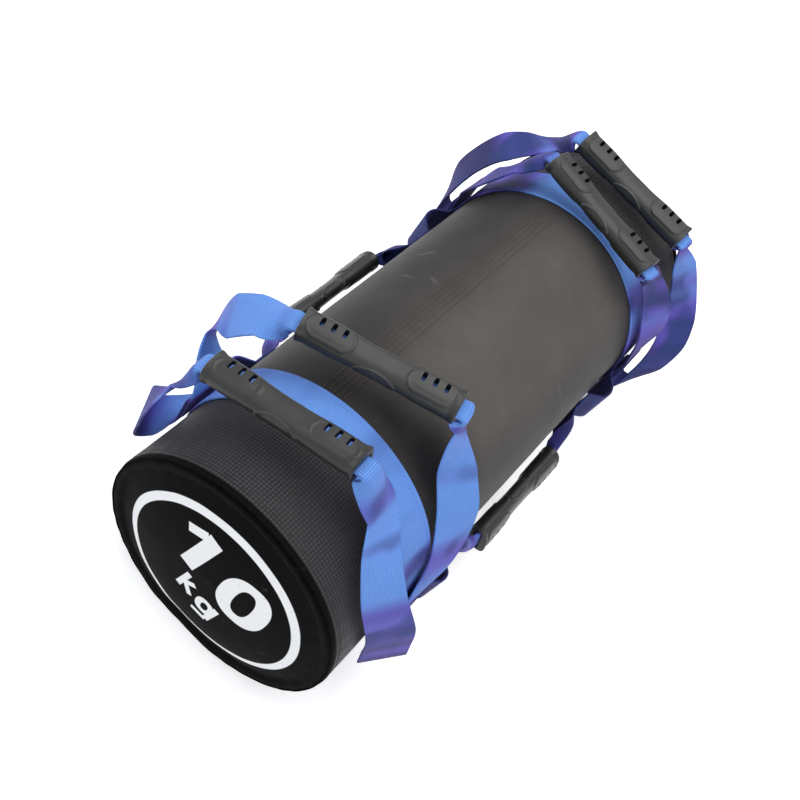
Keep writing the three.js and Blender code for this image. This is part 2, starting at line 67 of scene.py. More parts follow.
# Webbing
WEB_WIDTH = 38.0
WEB_THICK = 1.8
SEWN_HALF = 14.0
BEND_LEAD = 2.0
UNDER_LEAD = 8.0
TOP_LAYER = 3
MOUTH_LEAD = 7.0
PART_FOLD = 0.52
WEB_TUCK = 1.1
FOLD_DRAW = 0.21
FOLD_BEND = 1.73
FOLD_MIDDLE = 7.6
OPEN_BEND = 7.3
TIGHT_FOLD = 0.6
FULL_FOLD = 0.97
LEAST_FLAP = 1.5
EDGE_ROUND = 0.3
EDGE_SHARE = 0.45

# Tone of the webbing's colour, mostly painted light and shade: its tone at the floor, and what
# height, a level strip, the rear, clouds and the left side add. Height and a level strip paint
# light from above, the rear and the left side paint shade, and the clouds vary at random
TONE_FLOOR = -0.10
PAINTED_LIGHT_HEIGHT = 0.78
PAINTED_LIGHT_LEVEL = 0.42
PAINTED_SHADE_REAR = -0.62
TONE_CLOUD = 0.62
PAINTED_SHADE_LEFT = -0.28
CLOUD_SIZE = 26.0

# Thread on the webbing: the boxes' reach across the strip, and how deep the thread sits
BOX_REACH = 14.6
THREAD_SINK = 0.12

# Bands and flank straps
FRONT_BAND_Y = -166.0
REAR_BAND_Y = 177.0
FLANK_TACK_Y = 106.0
FLANK_Z = 86.0
FLANK_SEWN_HALF = 8.0
SPAN_TAIL = 9.0
SPAN_STAND = 10.0
SWING_CLEAR = 6.0

# Grip sleeves
GRIP_LENGTH = 119.0
GRIP_WIDTH = 22.8
GRIP_WAIST_WIDTH = 20.8
GRIP_THICK = 16.8
GRIP_WAIST_THICK = 14.2
GRIP_FLARE = 2.0
PAD_CENTRE = 38.0
PAD_LENGTH = 37.0
PAD_WIDTH = 16.4
PAD_RISE = 0.8
SLOT_PITCH = 8.6
SLOT_LENGTH = 7.2
SLOT_WIDTH = 3.2
SLOT_Y = -4.4
SLOT_PLACES = tuple(end * PAD_CENTRE + number * SLOT_PITCH for end in (-1, 1) for number in (-1, 0, 1))
BOSS_LENGTH = 32.0
BOSS_WIDTH = 10.0
BOSS_RISE = 0.8
CHANNEL_WIDTH = 0.42 * WEB_WIDTH
CHANNEL_THICK = 4.0

Item = Union["Value", bpy.types.NodeSocket, float, tuple]


class Body(str, Enum):
    """Bodies of the frame."""

    BAG = "bag"
    FRONT_LEAD = "front_lead_loop"
    FRONT_TRAIL = "front_trail_loop"
    REAR_LEAD = "rear_lead_loop"
    REAR_TRAIL = "rear_trail_loop"
    RIGHT_FLANK = "right_flank_loop"
    LEFT_FLANK = "left_flank_loop"


class Slot(str, Enum):
    """Material slots of the record."""

    CASING = "casing"
    END_PANEL = "end_panel"
    WEBBING = "webbing"
    GRIP = "grip"


def smooth(value: np.ndarray, low: float, high: float) -> np.ndarray:
    """Smoothstep of value from low to high.

    Args:
        value: numbers to map.
        low: where the step starts.
        high: where it ends.

    Returns:
        Shares from 0 to 1.
    """
    share = np.clip((np.asarray(value, float) - low) / (high - low), 0, 1)
    return share * share * (3 - 2 * share)


def unit(vectors: np.ndarray) -> np.ndarray:
    """Vectors at length one, along the last axis."""
    return vectors / np.maximum(np.linalg.norm(vectors, axis=-1, keepdims=True), 1e-12)


def soft_noise(points: np.ndarray, scale: float, seed: float = 0.0) -> np.ndarray:
    """Smooth noise from about -1 to 1 at each point.

    Args:
        points: (..., 3) places in mm.
        scale: size of one swell in mm.
        seed: offset that picks another pattern.

    Returns:
        One value for each point.
    """
    flat = points.reshape(-1, 3) / scale + seed
    return np.array([noise.noise(Vector(p)) for p in flat]).reshape(points.shape[:-1])


# Meshes
def link_object(name: str, data: bpy.types.ID) -> bpy.types.Object:
    """A new object, linked to the scene.

    Args:
        name: name of the object.
        data: its mesh, lamp or camera.

    Returns:
        The object.
    """
    obj = bpy.data.objects.new(name, data)
    bpy.context.scene.collection.objects.link(obj)
    return obj


def shade_smooth(mesh: bpy.types.Mesh, sharp: Optional[float] = None) -> None:
    """Shades a mesh smooth.

    Args:
        mesh: the mesh.
        sharp: angle in degrees from which an edge stays sharp; None where no edge does.
    """
    mesh.polygons.foreach_set("use_smooth", [True] * len(mesh.polygons))
    if sharp is not None:
        mesh.set_sharp_from_angle(angle=math.radians(sharp))
    mesh.update()


def make_object(name: str, points: np.ndarray, faces: Sequence, uvs: np.ndarray,
                tone: Optional[np.ndarray] = None) -> bpy.types.Object:
    """A smooth mesh object at the origin.

    Args:
        name: name of the piece.
        points: (n, 3) places in mm.
        faces: lists of point numbers.
        uvs: one (u, v) for each corner, in metres.
        tone: one value for each point, kept as the attribute "tone".

    Returns:
        The linked object.
    """
    mesh = bpy.data.meshes.new(name)
    mesh.from_pydata((np.asarray(points) * MM).tolist(), [], [list(f) for f in faces])
    mesh.uv_layers.new(name="UVMap").data.foreach_set("uv", np.asarray(uvs, float).ravel())
    if tone is not None:
        attribute = mesh.attributes.new("tone", "FLOAT", "POINT")
        attribute.data.foreach_set("value", np.asarray(tone, float).ravel())
    mesh.validate(clean_customdata=False)
    shade_smooth(mesh)
    return link_object(name, mesh)


def signed_volume(points: np.ndarray, faces: Sequence) -> float:
    """Six times the volume that faces enclose, negative if they point inwards.

    Args:
        points: (n, 3) places.
        faces: lists of point numbers.

    Returns:
        The volume's sixfold, with its sign.
    """
    total = 0.0
    for face in faces:
        a = points[face[0]]
        for i in range(1, len(face) - 1):
            total += float(np.dot(a, np.cross(points[face[i]], points[face[i + 1]])))
    return total


def loft_object(name: str, rings: np.ndarray, along: np.ndarray, across: np.ndarray, wrap: bool = False,
                tone: Optional[np.ndarray] = None) -> bpy.types.Object:
    """A closed skin over rings of points.

    Args:
        name: name of the piece.
        rings: (r, s, 3) places in mm.
        along: (r,) or (r + 1,) u of each ring, in mm.
        across: (s + 1,) or (r, s + 1) v round each ring, in mm.
        wrap: joins the last ring to the first instead of capping both.
        tone: (r, s) values for the attribute "tone".

    Returns:
        The linked object.
    """
    count, sides = rings.shape[:2]
    points = rings.reshape(-1, 3)
    across = np.broadcast_to(np.asarray(across, float), (count, sides + 1))
    faces, uvs = [], []
    for ring in range(count if wrap else count - 1):
        nxt = (ring + 1) % count
        u0, u1 = along[ring], along[min(ring + 1, len(along) - 1)]
        here, there = ring * sides, nxt * sides
        for side in range(sides):
            beside = (side + 1) % sides
            faces.append((here + side, there + side, there + beside, here + beside))
            uvs += [(u0, across[ring, side]), (u1, across[nxt, side]),
                    (u1, across[nxt, side + 1]), (u0, across[ring, side + 1])]
    if not wrap:
        for ring, order in ((0, 1), (count - 1, -1)):
            points = np.vstack([points, rings[ring].mean(axis=0)])
            for side in range(sides):
                pair = (ring * sides + side, ring * sides + (side + 1) % sides)[::order]
                faces.append((len(points) - 1, *pair))
                uvs += [(along[ring], across[ring].mean())] + [(along[ring], across[ring, side])] * 2
        if tone is not None:
            tone = np.append(tone, [float(np.mean(tone[0])), float(np.mean(tone[-1]))])
    if signed_volume(points, faces) < 0:
        start, turned = 0, []
        for face in faces:
            turned += uvs[start:start + len(face)][::-1]
            start += len(face)
        faces, uvs = [face[::-1] for face in faces], turned
    return make_object(name, points, faces, np.array(uvs) * MM, tone)


# Shader graphs
class Value:
    """A socket of a shader graph that takes arithmetic."""

    def __init__(self, graph: "Graph", socket: bpy.types.NodeSocket) -> None:
        """Keeps the socket and its graph."""
        self.graph = graph
        self.socket = socket

    def __add__(self, other: Item) -> "Value":
        """The sum."""
        return self.graph.math("ADD", self, other)

    def __sub__(self, other: Item) -> "Value":
        """The difference."""
        return self.graph.math("SUBTRACT", self, other)

    def __rsub__(self, other: Item) -> "Value":
        """A number less this value."""
        return self.graph.math("SUBTRACT", other, self)

    def __mul__(self, other: Item) -> "Value":
        """The product."""
        return self.graph.math("MULTIPLY", self, other)

    def __truediv__(self, other: Item) -> "Value":
        """The quotient."""
        return self.graph.math("DIVIDE", self, other)

    def __pow__(self, other: Item) -> "Value":
        """The power."""
        return self.graph.math("POWER", self, other)

    def abs(self) -> "Value":
        """The value without its sign."""
        return self.graph.math("ABSOLUTE", self)

    def sin(self) -> "Value":
        """The sine."""
        return self.graph.math("SINE", self)

    def root(self) -> "Value":
        """The square root."""
        return self.graph.math("SQRT", self)

    def max(self, other: Item) -> "Value":
        """The larger one."""
        return self.graph.math("MAXIMUM", self, other)

    def step(self, low: float, high: float, to_low: float = 0.0, to_high: float = 1.0) -> "Value":
        """Smoothstep of this value.

        Args:
            low: where the step starts.
            high: where it ends.
            to_low: result at low.
            to_high: result at high.

        Returns:
            The result.
        """
        node = self.graph.node("ShaderNodeMapRange", {"interpolation_type": "SMOOTHSTEP"})
        return self.graph.fill(node, (self, low, high, to_low, to_high))

    def window(self, rise: Sequence[float], fall: Sequence[float]) -> "Value":
        """A smooth rise and a smooth fall, multiplied."""
        return self.step(*rise) * self.step(*fall)


class Graph:
    """A shader node tree with short calls for the nodes that this file uses."""

    def __init__(self, tree: bpy.types.NodeTree) -> None:
        """Keeps the tree."""
        self.tree = tree

    def put(self, slot: bpy.types.NodeSocket, item: Item) -> None:
        """Links a value or socket to a slot, or sets the slot.

        Args:
            slot: input of a node.
            item: what goes in.
        """
        if isinstance(item, Value):
            item = item.socket
        if isinstance(item, bpy.types.NodeSocket):
            self.tree.links.new(item, slot)
        elif isinstance(item, tuple) and len(slot.default_value) == 4 and len(item) == 3:
            slot.default_value = (*item, 1.0)
        else:
            slot.default_value = item

    def set(self, node: bpy.types.Node, **inputs: Item) -> None:
        """Links or sets a node's inputs by name, with _ for a space."""
        for key, item in inputs.items():
            self.put(node.inputs[key.replace("_", " ")], item)

    def node(self, kind: str, settings: Optional[dict] = None, **inputs: Item) -> bpy.types.Node:
        """A new node.

        Args:
            kind: type of the node.
            settings: its properties by name.
            inputs: its inputs by name, with _ for a space.

        Returns:
            The node.
        """
        node = self.tree.nodes.new(kind)
        for key, value in (settings or {}).items():
            setattr(node, key, value)
        self.set(node, **inputs)
        return node

    def fill(self, node: bpy.types.Node, items: Sequence[Item]) -> Value:
        """Fills a node's inputs in order.

        Args:
            node: the node.
            items: what goes in.

        Returns:
            The node's first output.
        """
        for slot, item in zip(node.inputs, items):
            self.put(slot, item)
        return Value(self, node.outputs[0])

    def math(self, operation: str, *items: Item) -> Value:
        """The result of a math node on some items."""
        return self.fill(self.node("ShaderNodeMath", {"operation": operation}), items)

    def split(self, vector: Item) -> tuple:
        """The x, y and z of a vector."""
        node = self.node("ShaderNodeSeparateXYZ", Vector=vector)
        return tuple(Value(self, out) for out in node.outputs)

    def noise(self, vector: Item, scale: float, detail: float = 2.0, rough: float = 0.5) -> Value:
        """Noise from 0 to 1.

        Args:
            vector: place.
            scale: swells per metre.
            detail: number of finer layers.
            rough: weight of the finer layers.

        Returns:
            The noise.
        """
        node = self.node("ShaderNodeTexNoise", Vector=vector, Scale=scale, Detail=detail, Roughness=rough)
        return Value(self, node.outputs[0])

    def mix(self, share: Item, first: Item, second: Item) -> bpy.types.NodeSocket:
        """A colour between two.

        Args:
            share: 0 for the first, 1 for the second.
            first: a colour.
            second: a colour.

        Returns:
            The mixed colour's socket.
        """
        node = self.node("ShaderNodeMix", {"data_type": "RGBA"})
        colours = [slot for slot in node.inputs if slot.type == "RGBA"]
        for slot, item in ((node.inputs[0], share), *zip(colours, (first, second))):
            self.put(slot, item)
        return next(slot for slot in node.outputs if slot.type == "RGBA")

    def bump(self, height: Item, distance: float) -> bpy.types.NodeSocket:
        """A normal bent by a height, whose full range is a distance in metres."""
        return self.node("ShaderNodeBump", Height=height, Distance=distance, Strength=1.0).outputs[0]


class Effect:
    """A shared shader effect: a node group that puts out values only."""

    name = ""
    inputs: Sequence[tuple] = (("Vector", None),)
    outputs: Sequence[str] = ("Mask",)

    def body(self, g: Graph, w: dict) -> Sequence[Value]:
        """Builds the effect's nodes.

        Args:
            g: graph of the group.
            w: the group's inputs by name.

        Returns:
            One value for each output.
        """
        raise NotImplementedError

    def tree(self) -> bpy.types.NodeTree:
        """The effect's node group, made at its first use.

        Returns:
            The group; an input whose default is None is a vector.
        """
        if self.name in bpy.data.node_groups:
            return bpy.data.node_groups[self.name]
        tree = bpy.data.node_groups.new(self.name, "ShaderNodeTree")
        for key, default in self.inputs:
            kind = "NodeSocketVector" if default is None else "NodeSocketFloat"
            socket = tree.interface.new_socket(name=key, in_out="INPUT", socket_type=kind)
            if default is not None:
                socket.default_value = default
        for key in self.outputs:
            tree.interface.new_socket(name=key, in_out="OUTPUT", socket_type="NodeSocketFloat")
        graph = Graph(tree)
        source, sink = graph.node("NodeGroupInput"), graph.node("NodeGroupOutput")
        wires = {key: Value(graph, source.outputs[key]) for key, _ in self.inputs}
        for slot, item in zip(sink.inputs, self.body(graph, wires)):
            graph.put(slot, item)
        return tree

    def use(self, graph: Graph, **inputs: Item) -> dict:
        """The effect in use.

        Args:
            graph: graph that uses it.
            inputs: its inputs by name, with _ for a space.

        Returns:
            Its outputs by name.
        """
        node = graph.node("ShaderNodeGroup", {"node_tree": self.tree()}, **inputs)
        return {out.name: Value(graph, out) for out in node.outputs}


class Weave(Effect):
    """Flat webbing: ribs that lean both ways about each warp end, from the UV map."""

    name = "Weave"
    inputs = (("Vector", None), ("Rib", 0.0013), ("Cord", 0.0015))
    outputs = ("Height", "Lit")

    def body(self, g: Graph, w: dict) -> Sequence[Value]:
        """Builds the ribs and cords.

        Args:
            g: graph of the group.
            w: the group's inputs by name.

        Returns:
            Height, and how lit the yarn is.
        """
        u, v, _ = g.split(w["Vector"])
        lean = (v * TAU / w["Cord"]).sin().abs() * 1.9
        ribs = (u * TAU / w["Rib"] + lean).sin() * 0.5 + 0.5
        cords = (v * math.pi / w["Cord"]).sin().abs()
        height = ribs * 0.55 + cords * 0.35 + g.noise(w["Vector"], 900.0) * 0.25
        return height, (ribs * cords).step(0.0, 0.7)


class Emboss(Effect):
    """Coated fabric: a grid of small raised squares, from the UV map."""

    name = "Emboss"
    inputs = (("Vector", None), ("Pitch", 0.0026))
    outputs = ("Height",)

    def body(self, g: Graph, w: dict) -> Sequence[Value]:
        """Builds the grid.

        Args:
            g: graph of the group.
            w: the group's inputs by name.

        Returns:
            Height.
        """
        u, v, _ = g.split(w["Vector"])
        rows, lines = ((at * math.pi / w["Pitch"]).sin().abs().step(0.12, 0.62) for at in (u, v))
        return [rows * lines]


class Wear(Effect):
    """Use: soft clouds, faint streaks of dust, small specks and patches of another hue."""

    name = "Wear"
    outputs = ("Cloud", "Scuff", "Speck", "Hue")

    def body(self, g: Graph, w: dict) -> Sequence[Value]:
        """Builds the noises.

        Args:
            g: graph of the group.
            w: the group's inputs by name.

        Returns:
            Cloud, scuff, speck and hue.
        """
        cloud = g.noise(w["Vector"], 9.0, 4.0, 0.6)
        streak = g.noise(w["Vector"], 60.0, 3.0, 0.7)
        speck = g.noise(w["Vector"], 420.0, 1.0, 0.4)
        hue = g.noise(w["Vector"], 26.0, 1.0)
        scuff = streak.step(0.62, 0.78) * cloud.step(0.48, 0.7)
        return cloud, scuff, speck.step(0.7, 0.8), hue.step(0.44, 0.62)


class Smear(Effect):
    """A faint oval smear on the casing, seen from above."""

    name = "Smear"
    inputs = tuple((key, 0.0) for key in ("X", "Y", "Centre X", "Centre Y", "Cos", "Sin", "Reach", "Breadth"))

    def body(self, g: Graph, w: dict) -> Sequence[Value]:
        """Builds the oval.

        Args:
            g: graph of the group, not used.
            w: the group's inputs by name.

        Returns:
            Mask, 1 in the middle.
        """
        x, y = w["X"] - w["Centre X"], w["Y"] - w["Centre Y"]
        along = (x * w["Cos"] + y * w["Sin"]) / w["Reach"]
        across = (y * w["Cos"] - x * w["Sin"]) / w["Breadth"]
        return [(along * along + across * across).step(1.0, 0.0)]


class PrintBar(Effect):
    """Mask of a turned bar in the print's plane. Sizes are in millimetres."""

    name = "PrintBar"
    inputs = tuple((key, 0.0) for key in ("X", "Z", "Centre X", "Centre Z", "Cos", "Sin", "Half Length",
                                          "Half Width"))

    def body(self, g: Graph, w: dict) -> Sequence[Value]:
        """Builds the bar.

        Args:
            g: graph of the group, not used.
            w: the group's inputs by name.

        Returns:
            Mask.
        """
        x, z = w["X"] - w["Centre X"], w["Z"] - w["Centre Z"]
        along = (x * w["Cos"] + z * w["Sin"]).abs() - w["Half Length"]
        across = (z * w["Cos"] - x * w["Sin"]).abs() - w["Half Width"]
        return [along.max(across).step(INK_EDGE, -INK_EDGE)]


class PrintOval(Effect):
    """Mask of a filled oval in the print's plane. Sizes are in millimetres."""

    name = "PrintOval"
    inputs = tuple((key, 0.0) for key in ("X", "Z", "Centre X", "Centre Z", "Half Width", "Half Height"))

    def body(self, g: Graph, w: dict) -> Sequence[Value]:
        """Builds the oval.

        Args:
            g: graph of the group, not used.
            w: the group's inputs by name.

        Returns:
            Mask.
        """
        x, z = (w["X"] - w["Centre X"]) / w["Half Width"], (w["Z"] - w["Centre Z"]) / w["Half Height"]
        reach = (x.abs() ** OVAL_POWER + z.abs() ** OVAL_POWER) ** (1.0 / OVAL_POWER)
        return [((reach - 1.0) * w["Half Width"]).step(INK_EDGE, -INK_EDGE)]


# Weight mark: sizes in mm from the middle of the end. A bar has centre x and z, turn in degrees
# from level, half length and half width. An oval has centre x and z, half width and half height,
# and the second of a pair is its hole.
INK_EDGE = 0.25
OVAL_POWER = 2.4
RING_OUTER = 76.2
RING_INNER = 69.8
RING_EDGE = 0.3
PRINT_BARS = (
    (-17.6, 32.0, 81.0, 23.2, 6.4),
    (-27.6, 47.4, 29.0, 8.6, 3.8),
    (-16.2, -11.2, 82.0, 12.6, 2.35),
    (-11.2, -10.2, 43.0, 6.4, 2.4),
    (-10.2, -18.0, -52.0, 6.6, 2.4),
    (14.2, -21.0, 83.0, 12.2, 2.5),
    (6.0, -34.6, 2.0, 6.6, 2.2),
)
PRINT_OVALS = (
    ((25.6, 23.6, 20.2, 25.8), (25.4, 24.6, 7.4, 16.6)),
    ((7.0, -18.4, 8.2, 9.8), (7.0, -18.4, 3.1, 5.0)),
)


class WeightMark(Effect):
    """Mask of the weight mark: a ring, two figures and two letters, from Object coordinates."""

    name = "WeightMark"

    def body(self, g: Graph, w: dict) -> Sequence[Value]:
        """Builds the mark.

        Args:
            g: graph of the group.
            w: the group's inputs by name.

        Returns:
            Mask.
        """
        px, _, pz = g.split(w["Vector"])
        x, z = px * (1 / MM), pz * (1 / MM) - AXIS_HEIGHT
        away = (x * x + z * z).root()
        mask = away.window((RING_INNER - RING_EDGE, RING_INNER + RING_EDGE),
                           (RING_OUTER + RING_EDGE, RING_OUTER - RING_EDGE))
        for pair in PRINT_OVALS:
            full, hole = (PrintOval().use(g, X=x, Z=z, Centre_X=cx, Centre_Z=cz, Half_Width=half_width,
                                          Half_Height=half_height)["Mask"]
                          for cx, cz, half_width, half_height in pair)
            mask = mask.max(full * (1.0 - hole))
        for cx, cz, turn, half_length, half_width in PRINT_BARS:
            angle = math.radians(turn)
            bar = PrintBar().use(g, X=x, Z=z, Centre_X=cx, Centre_Z=cz, Cos=math.cos(angle),
                                 Sin=math.sin(angle), Half_Length=half_length, Half_Width=half_width)
            mask = mask.max(bar["Mask"])
        return [mask]


# Finishes
@dataclass(frozen=True)
class Finish:
    """A material that is made once and shared."""

    name: str

    def paint(self, g: Graph, shader: bpy.types.Node, place: bpy.types.NodeSocket,
              uv: bpy.types.NodeSocket) -> None:
        """Sets the shader up.

        Args:
            g: graph of the material.
            shader: its Principled node.
            place: Object coordinates.
            uv: UV coordinates.
        """
        raise NotImplementedError

    def material(self) -> bpy.types.Material:
        """The material, made at its first use.

        Returns:
            The material.
        """
        if self.name in bpy.data.materials:
            return bpy.data.materials[self.name]
        material = bpy.data.materials.new(self.name)
        material.use_nodes = True
        material.node_tree.nodes.clear()
        g = Graph(material.node_tree)
        shader = g.node("ShaderNodeBsdfPrincipled")
        g.node("ShaderNodeOutputMaterial", Surface=shader.outputs[0])
        coords = g.node("ShaderNodeTexCoord").outputs
        self.paint(g, shader, coords["Object"], coords["UV"])
        return material


@dataclass(frozen=True)
class WebbingFinish(Finish):
    """Woven straps: the attribute tone takes the colour from deep through violet to azure, which is painted
    light and shade on one blue.
    """

    name: str = "webbing_blue"
    # top is the lit blue, middle the half-lit violet and low the shaded deep blue: lit and shaded copies of
    # one blue, painted light and shade
    top: tuple = (0.180, 0.41, 1.0)
    middle: tuple = (0.150, 0.112, 0.60)
    low: tuple = (0.022, 0.024, 0.11)
    # A blue-green painted shade, laid in random patches where the tone is low
    shade_teal: tuple = (0.012, 0.046, 0.17)
    # Painted shade in the valleys between the yarns
    valley_shade: tuple = (0.016, 0.022, 0.12)
    roughness: float = 0.62
    specular: float = 0.16
    sheen: float = 0.25
    sheen_roughness: float = 0.35
    sheen_tint: tuple = (0.52, 0.36, 1.0)
    relief: float = 0.00028

    def paint(self, g: Graph, shader: bpy.types.Node, place: bpy.types.NodeSocket,
              uv: bpy.types.NodeSocket) -> None:
        """Sets the shader up.

        Args:
            g: graph of the material.
            shader: its Principled node.
            place: Object coordinates.
            uv: UV coordinates.
        """
        weave, wear = Weave().use(g, Vector=uv), Wear().use(g, Vector=place)
        share = Value(g, g.node("ShaderNodeAttribute", {"attribute_name": "tone"}).outputs["Fac"])
        # Painted light and shade: the tone picks the shaded, half-lit or lit blue, and the blue-green shade
        # lies in random patches where the tone is low
        tint = g.mix(share.step(0.08, 0.60), self.low, self.middle)
        tint = g.mix(share.step(0.44, 0.96), tint, self.top)
        tint = g.mix(wear["Hue"] * (1.0 - share.step(0.55, 1.0)) * 0.8, tint, self.shade_teal)
        # The lit yarn takes the tint and the valleys between the yarns a darker colour, a painted shade;
        # clouds vary it at random
        light = (weave["Lit"] * 0.58 + 0.54) * wear["Cloud"].step(0.2, 0.8, 0.84, 1.0)
        g.set(shader, Base_Color=g.mix(light, self.valley_shade, tint), Roughness=self.roughness,
              Sheen_Weight=self.sheen, Sheen_Roughness=self.sheen_roughness, Sheen_Tint=self.sheen_tint,
              Specular_IOR_Level=self.specular, Normal=g.bump(weave["Height"], self.relief))


# Smears on the casing: centre x and y in metres, turn in degrees, half length and half breadth
SCUFF_MARKS = (
    (-0.0755, 0.0385, 45.0, 0.0085, 0.0024),
    (-0.0700, 0.0005, -6.0, 0.0080, 0.0016),
    (-0.0520, 0.0040, -35.0, 0.0075, 0.0020),
    (0.0782, 0.0380, 10.0, 0.0060, 0.0014),
)


@dataclass(frozen=True)
class FabricFinish(Finish):
    """Coated fabric of the casing: charcoal with an embossed grid that shows near the ends, with painted
    highlights on the grid's raised squares and over the top middle.
    """

    colour: tuple
    glare_and_mottle: tuple
    # How many times lighter the grid's raised squares are painted: a painted highlight on the emboss
    grid_highlight_gain: float = 1.6
    grid_depth: float = 0.0003
    roughness: float = 0.62
    specular: float = 0.02
    sheen: float = 0.0
    sheen_roughness: float = 0.35
    sheen_tint: tuple = (0.75, 0.72, 0.7)
    dust: tuple = (0.16, 0.155, 0.15)
    dust_share: float = 0.30
    smear: tuple = (0.19, 0.185, 0.175)
    grain: float = 1500.0
    grain_height: float = 0.22
    grid_fade: tuple = (0.13, 0.21, 0.16, 1.0)
    # Where the glare lies, a painted highlight over the casing's top middle, in metres
    glare_x: tuple = ((-0.080, 0.005), (0.102, 0.055))
    glare_y: tuple = ((-0.135, -0.06), (0.22, 0.10))

    def regions(self, g: Graph, place: bpy.types.NodeSocket, cloud: Value) -> tuple:
        """Where the grid shows, and where the lighter grey lies: a painted highlight over the top middle, and
        random clouds.

        Args:
            g: graph of the material.
            place: Object coordinates.
            cloud: soft clouds.

        Returns:
            Share of the grid, and share of the lighter grey, mostly painted highlight.
        """
        x, y, _ = g.split(place)
        # glare is a painted highlight over the top middle
        glare = y.window(*self.glare_y) * x.window(*self.glare_x)
        return y.abs().step(*self.grid_fade), cloud.step(0.3, 0.75) * 0.3 + glare * 0.7

    def mark(self, g: Graph, place: bpy.types.NodeSocket, wear: dict) -> tuple:
        """What lies on the fabric: the smears.

        Args:
            g: graph of the material.
            place: Object coordinates.
            wear: outputs of Wear.

        Returns:
            Share of the mark, its colour, and whether it is printed ink.
        """
        x, y, _ = g.split(place)
        total = None
        for centre_x, centre_y, turn, reach, breadth in SCUFF_MARKS:
            angle = math.radians(turn)
            smear = Smear().use(g, X=x, Y=y, Centre_X=centre_x, Centre_Y=centre_y, Cos=math.cos(angle),
                                Sin=math.sin(angle), Reach=reach, Breadth=breadth)["Mask"]
            total = smear if total is None else total.max(smear)
        return total * (wear["Cloud"] * 0.34 + 0.06), self.smear, False

    def paint(self, g: Graph, shader: bpy.types.Node, place: bpy.types.NodeSocket,
              uv: bpy.types.NodeSocket) -> None:
        """Sets the shader up.

        Args:
            g: graph of the material.
            shader: its Principled node.
            place: Object coordinates.
            uv: UV coordinates.
        """
        wear = Wear().use(g, Vector=place)
        near, glare_and_mottle_share = self.regions(g, place, wear["Cloud"])
        grid = Emboss().use(g, Vector=uv)["Height"] * near
        share, colour, printed = self.mark(g, place, wear)
        # The lighter grey is mostly a painted highlight over the casing's top middle, and elsewhere random
        # clouds
        base = g.mix(glare_and_mottle_share, self.colour, self.glare_and_mottle)
        base = g.mix(wear["Scuff"] * self.dust_share, base, self.dust)
        # The grid's raised squares are painted lighter: a painted highlight on the emboss
        grid_highlight = tuple(self.grid_highlight_gain * c for c in self.colour)
        rough = wear["Cloud"].step(0.2, 0.9, self.roughness - 0.05, self.roughness + 0.09)
        height = grid + g.noise(place, self.grain) * self.grain_height
        if not printed:
            base = g.mix(grid, g.mix(share, base, colour), grid_highlight)
        else:
            base = g.mix(share, g.mix(grid, base, grid_highlight), colour)
            rough = rough * (1.0 - share * 0.12)
            height = height * (1.0 - share * 0.6) + share * 0.25
        g.set(shader, Base_Color=base, Roughness=rough, Specular_IOR_Level=self.specular,
              Sheen_Weight=self.sheen, Sheen_Roughness=self.sheen_roughness, Sheen_Tint=self.sheen_tint,
              Normal=g.bump(height, self.grid_depth))


@dataclass(frozen=True)
class PrintedFinish(FabricFinish):
    """The fabric of the front end: the grid shows near the rim, and the weight is printed on it."""

    ink: tuple = (0.86, 0.87, 0.88)
    rim_fade: tuple = (0.070, 0.094, 0.06, 0.8)

    def regions(self, g: Graph, place: bpy.types.NodeSocket, cloud: Value) -> tuple:
        """Where the grid shows, and where the second colour lies in random clouds.

        Args:
            g: graph of the material.
            place: Object coordinates.
            cloud: soft clouds.

        Returns:
            Share of the grid, and share of the warm colour.
        """
        x, _, z = g.split(place)
        height = z - AXIS_HEIGHT * MM
        return (x * x + height * height).root().step(*self.rim_fade), cloud.step(0.3, 0.75)

    def mark(self, g: Graph, place: bpy.types.NodeSocket, wear: dict) -> tuple:
        """What lies on the fabric: the print, a little worn.

        Args:
            g: graph of the material.
            place: Object coordinates.
            wear: outputs of Wear.

        Returns:
            Share of the mark, its colour, and whether it is printed ink.
        """
        printed = WeightMark().use(g, Vector=place)["Mask"]
        return printed * (1.0 - wear["Speck"] * 0.25), self.ink, True


@dataclass(frozen=True)
class PlainFinish(Finish):
    """A matt or satin surface with fine grain: rubber, thread, wadding, nylon or sand."""

    colour: tuple
    roughness: float = 0.5
    grain: float = 1400.0
    depth: float = 0.00006
    vary: float = 0.25
    sheen: float = 0.0
    specular: float = 0.45

    def paint(self, g: Graph, shader: bpy.types.Node, place: bpy.types.NodeSocket,
              uv: bpy.types.NodeSocket) -> None:
        """Sets the shader up.

        Args:
            g: graph of the material.
            shader: its Principled node.
            place: Object coordinates.
            uv: UV coordinates, not used.
        """
        wear = Wear().use(g, Vector=place)
        grain = g.noise(place, self.grain, 3.0, 0.6)
        light, dust = (tuple(min(1.0, c * gain + lift) for c in self.colour)
                       for gain, lift in ((1 + self.vary, 0.004), (2.0, 0.01)))
        base = g.mix(wear["Cloud"].step(0.25, 0.8) * 0.8 + grain * 0.2, self.colour, light)
        rough = wear["Cloud"].step(0.2, 0.8, self.roughness - 0.05, self.roughness + 0.07)
        g.set(shader, Base_Color=g.mix(wear["Scuff"] * 0.25, base, dust), Roughness=rough,
              Specular_IOR_Level=self.specular, Sheen_Weight=self.sheen, Normal=g.bump(grain, self.depth))


